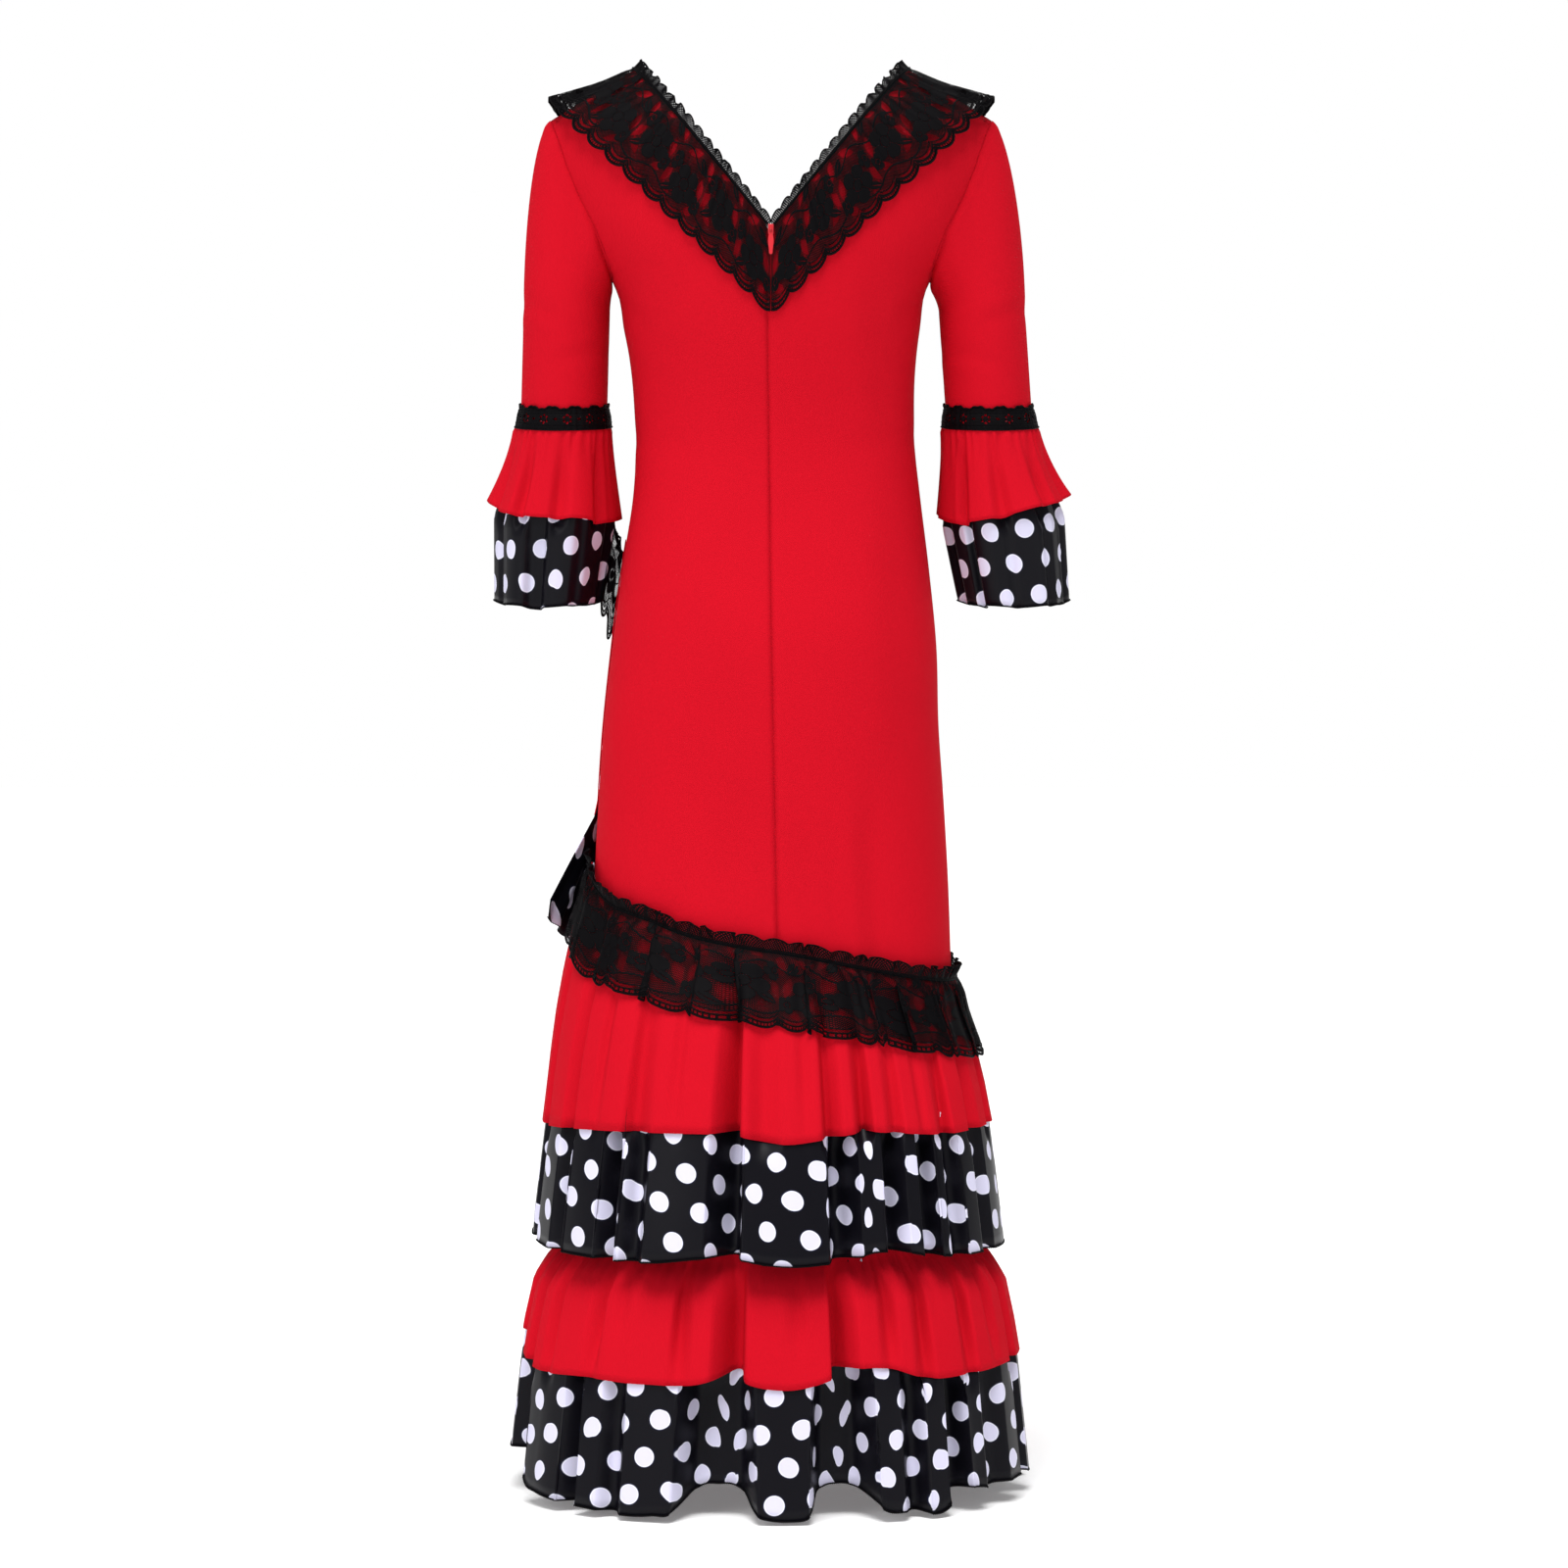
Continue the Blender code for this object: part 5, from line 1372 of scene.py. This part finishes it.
def build_lace_band(prefix, tier, layer, degrees, widths, closed, core, seed):
    """Gathered lace with a frilled heading above its stitching and a scalloped lower edge."""
    flat = 0 * degrees
    clear = LACE_WALL + SEAM_GAP
    if tier is HIP:
        clear = clear + HIP_LACE_OUT * smoothstep(HIP_SEAM[-1][0] - 14, HIP_SEAM[-1][0], degrees)
    line = tier_points(tier, layer, degrees, flat, flat - clear, core)
    u = cloth_lengths(np.array([line, line]), closed)[0]
    along = u[0, :len(degrees)]
    total_length = u[0, -1] * LACE_FULLNESS
    stretch = round(total_length / SCALLOP_PITCH / 2) * 2 * SCALLOP_PITCH / u[0, -1]
    marks = along * stretch
    share = along / u[0, -1]
    count = round(u[0, -1] / LACE_PLEAT)
    wave = np.sin(phase_of(share, count, seed))
    sway = LACE_SWAY * wave / (np.gradient(along) / np.gradient(degrees))
    notch = SCALLOP_DEPTH * (1 - np.abs(np.sin(math.pi * marks / SCALLOP_PITCH)) ** 0.7)
    bump = 0.62 + 0.38 * np.abs(np.sin(math.pi * marks / HEADING_BUMP)) ** 0.6
    total = LACE_BAND_WIDTH
    rows, heights = [], []
    for up in np.linspace(1, 0, HEADING_ROWS):
        rise = HEADING_SHOWN * up * bump
        strength = 0.55 * smoothstep(0.1, 1, up)
        out = clear + LACE_RISE * strength * (wave + 1)
        ring = tier_points(tier, layer, degrees - sway * strength, flat, flat - out, core)
        rows.append(ring + stack(0 * rise, 0 * rise, rise))
        heights.append(total + rise)
    for down in np.linspace(0, 1, LACE_ROWS)[1:]:
        drop = down * (widths - notch)
        strength = smoothstep(0.02, 0.25, down)
        out = clear + LACE_EDGE_LIFT * smoothstep(0.5, 1, down) + LACE_RISE * strength * (wave + 1)
        rows.append(tier_points(tier, layer, degrees - sway * strength, drop, flat - out, core))
        heights.append(total - down * (total - notch))
    grid = np.array(rows)
    d = np.array(heights)
    above = np.clip((d - total) / HEADING_SHOWN, 0, 1)
    below = np.clip((total - d) / total, 0, 1)
    frill = 3.2 * above * (ripple(share, count * 4, seed) + 0.5)
    tucks = 1.3 * smoothstep(0.02, 0.1, below) * np.exp(-below * 3)
    tucks = tucks * (ripple(share, count * 5, seed) + 1)
    pinch = -0.3 * np.exp(-((d - total) / 2) ** 2)
    grid = relief(grid, closed, frill + tucks + pinch, (0, 0, 0))
    if closed:
        marks = np.append(marks, u[0, -1] * stretch)
        d = np.concatenate([d, d[:, :1]], axis=1)
    name = prefix + "_lace"
    uv = (np.broadcast_to(marks, d.shape), d)
    piece = add_cloth(name, [grid], closed, LACE_SHOWN, TIER_LACE, [uv])
    cords = [(grid[-1], 0.8, closed), (grid[0], 0.7, closed), (grid[7], 0.9, closed),
             (grid[-3] * 0.45 + grid[-2] * 0.55, 0.5, closed)]
    cord = add_cords(name + "_cord", cords, CORD)
    stitches = sew(name + "_stitches", [(relief(grid[6:9], closed, 0.9, (0, 0, 0))[1], closed)],
                   THREAD_BLACK, 4.2, 2.8, 0.35)
    declare(name)


def bridged(folds):
    """The same folds, shallower, for lace that lies over them."""
    return [fold._replace(depth=fold.depth * LACE_DEPTH_SHARE) for fold in folds]


def build_tiers():
    degrees = np.linspace(-90, 270, TIER_COLUMNS, endpoint=False)
    for prefix, tier, core, waves, edges, seed, gather, bias in (
            ("tier1", TIER1, tier1_core, (TIER1_RED_WAVES, TIER1_DOT_WAVES),
             (TIER1_RED_EDGE, TIER1_DOT_EDGE), 1.0, 0.35, TIER1_BIAS),
            ("tier2", TIER2, tier2_core, (TIER2_RED_WAVES, TIER2_DOT_WAVES),
             (TIER2_RED_EDGE, TIER2_DOT_EDGE), 3.0, 1.4, TIER2_BIAS)):
        seam = seam_height(tier, degrees)
        lengths = [seam - smooth(edge, degrees) for edge in edges]
        build_flounces(prefix, tier, degrees, True, core, lengths, waves, seed, gather, bias)
    build_lace_band("tier1", TIER1, Flounce(bridged(TIER1_RED_WAVES)), degrees,
                    smooth(TIER1_LACE_WIDTH, degrees), True, tier1_core, 0.4)
    degrees = np.linspace(HIP_SEAM[0][0], HIP_SEAM[-1][0] - HIP_TUCKED, HIP_COLUMNS)
    lengths = [smooth(HIP_RED_WIDTH, degrees), smooth(HIP_DOT_WIDTH, degrees)]
    build_flounces("hip", HIP, degrees, False, hip_core, lengths, (HIP_WAVES, HIP_WAVES), 5.0, 0.6,
                   TIER1_BIAS)
    degrees = np.linspace(HIP_SEAM[0][0], HIP_SEAM[-1][0], HIP_COLUMNS)
    build_lace_band("hip", HIP, Flounce(bridged(HIP_WAVES)), degrees,
                    smooth(HIP_LACE_WIDTH, degrees), False,
                    hip_core, 2.2)


def build_collar(side_name, side):
    """Gathered lace along the neckline, with a frilled heading inside it."""
    dense = np.linspace(-1, 1, 1201)
    path = collar_path(side, dense, 0.75)
    walked = np.concatenate([[0], np.cumsum(np.linalg.norm(np.diff(path, axis=0), axis=1))])
    scallops = round(walked[-1] / SCALLOP_PITCH)
    along = np.linspace(0, scallops * SCALLOP_PITCH, COLLAR_COLUMNS)
    s = np.interp(along / along[-1] * walked[-1], walked, dense)
    share = along / along[-1]
    notch = 1 - np.abs(np.sin(math.pi * along / SCALLOP_PITCH)) ** 0.7
    bump = 0.5 + 0.5 * np.abs(np.sin(math.pi * along / NECK_BUMP)) ** 0.6
    total = LACE_COLLAR_WIDTH
    rows, heights = [], []
    for across in np.concatenate([np.linspace(-FRILL_SHARE, 0, 7), np.linspace(0, 1, 26)[1:]]):
        reach = across * (1 - notch * SCALLOP_DEPTH / COLLAR_DROP) if across > 0 else across * bump
        rows.append(collar_points(side, s, reach))
        heights.append(total * (1 - reach))
    grid = np.array(rows)
    d = np.array(heights)
    above = np.clip((d / total - 1) / FRILL_SHARE, 0, 1)
    below = np.clip(1 - d / total, 0, 1)
    middle = smoothstep(0, 0.08, 1 - np.abs(s))
    seed = 0.7 if side < 0 else 1.9
    frill = 3.0 * above * (ripple(share, 44, seed) + 0.3)
    pleats = 0.8 * smoothstep(0.01, 0.12, below) * (1 - 0.75 * below) * (ripple(share, 46, seed) + 1)
    swing = 0.9 * smoothstep(0.3, 1, below) * (ripple(share, 15, seed + 1) + 0.9)
    wing = 2.6 * smoothstep(0.75, 1, 1 - s * s) * smoothstep(0.3, 1, below)
    wing = wing * (ripple(share, 22, 1) + 0.8)
    grid = relief(grid, False, (frill + pleats + swing + wing) * middle, (0, 0, 0))
    grid[:, [0, -1], 0] = side * SEAM_GAP
    grid[..., 0] = np.where(side * grid[..., 0] < SEAM_GAP, side * SEAM_GAP, grid[..., 0])
    name = "collar_" + side_name
    uv = (np.broadcast_to(along, d.shape), d)
    piece = add_cloth(name, [grid], False, LACE_SHOWN, COLLAR_LACE, [uv])
    cords = [(grid[-1], 0.85, False), (grid[0], 0.75, False), (grid[6], 0.9, False),
             (grid[-3] * 0.4 + grid[-2] * 0.6, 0.5, False)]
    cord = add_cords(name + "_cord", cords, CORD)
    stitches = sew(name + "_stitches", [(relief(grid[5:8], False, 0.8, (0, 0, 0))[1], False)],
                   THREAD_BLACK, 4.2, 2.8, 0.35)
    declare(name)


def softbox(name, place, aim, size, power, tint=(1, 1, 1)):
    data = bpy.data.lights.new(name, "AREA")
    data.shape = "RECTANGLE"
    data.size, data.size_y = size
    data.energy = power
    data.color = tint
    light = bpy.data.objects.new(name, data)
    bpy.context.scene.collection.objects.link(light)
    light.location = place
    away = np.array(place) - np.array(aim)
    flat = math.hypot(away[0], away[1])
    light.rotation_euler = (math.atan2(flat, away[2]), 0, math.atan2(away[0], -away[1]))
    return light


def build_world():
    """Soft even light, with a white background behind the floor."""
    world = bpy.data.worlds.new("studio")
    bpy.context.scene.world = world
    world.use_nodes = True
    tree = world.node_tree
    ambient = tree.nodes["Background"]
    ambient.inputs["Color"].default_value = (1, 1, 1, 1)
    ambient.inputs["Strength"].default_value = AMBIENT
    white = tree.nodes.new("ShaderNodeBackground")
    white.inputs["Color"].default_value = (1, 1, 1, 1)
    path = tree.nodes.new("ShaderNodeLightPath")
    chosen = tree.nodes.new("ShaderNodeMixShader")
    tree.links.new(path.outputs["Is Camera Ray"], chosen.inputs[0])
    tree.links.new(ambient.outputs[0], chosen.inputs[1])
    tree.links.new(white.outputs[0], chosen.inputs[2])
    tree.links.new(chosen.outputs[0], tree.nodes["World Output"].inputs["Surface"])


def build_stage():
    corners = np.array([[-30, -30, 0], [30, -30, 0], [30, 30, 0], [-30, 30, 0]], float)
    floor = new_piece("floor", corners + np.array([0, 0, FLOOR_Z * MM]), np.array([[0, 1, 2, 3]]),
                      backdrop_material())
    build_world()
    sun = bpy.data.lights.new("sky", "SUN")
    sun.energy = SUN_POWER
    sun.angle = math.radians(SUN_SPREAD)
    light = bpy.data.objects.new("sky", sun)
    bpy.context.scene.collection.objects.link(light)
    light.rotation_euler = (math.radians(90 - SUN_HEIGHT), 0, math.radians(SUN_SIDE))
    middle = (0, 0, -0.6)
    softbox("key", (-2.6, -3.2, 0.9), middle, (1.4, 2.4), KEY_POWER)
    softbox("fill", (2.9, -2.6, -0.2), middle, (1.4, 2.4), FILL_POWER)
    softbox("back", (0.8, 3.4, 0.8), middle, (2.2, 2.4), BACK_POWER)


def build_camera():
    data = bpy.data.cameras.new("camera")
    data.sensor_width = 36
    data.lens = CAMERA_LENS
    data.shift_y = CAMERA_SHIFT
    camera = bpy.data.objects.new("camera", data)
    bpy.context.scene.collection.objects.link(camera)
    camera.location = CAMERA_PLACE
    camera.rotation_euler = (math.pi / 2, 0, 0)
    bpy.context.scene.camera = camera


KNIT = knit_material()
SATIN_CLOTH = satin_material()
COLLAR_LACE = lace_material("collar_lace", LACE_COLLAR_WIDTH, 1.0)
TIER_LACE = lace_material("tier_lace", LACE_BAND_WIDTH, 0.5)
EYELET_LACE = band_material()
CORD = thread_material("lace_cord", LACE_TONE)
THREAD_BLACK = thread_material("black_thread", LACE_TONE)
STITCHES = stitch_tool()
OVERLOCKS = []

build_panels()
for sleeve_name, sleeve_row in SLEEVES.items():
    build_sleeve(sleeve_name, sleeve_row)
    build_cuffs(sleeve_name, sleeve_row)
    build_collar(sleeve_name, sleeve_row.side)
build_tiers()

enamel = enamel_material()
for node in ("zip_slider", "zip_pull"):
    for slot in bpy.data.objects[node].material_slots:
        slot.material = enamel

build_stage()
build_camera()
bpy.context.scene.view_settings.view_transform = "Standard"
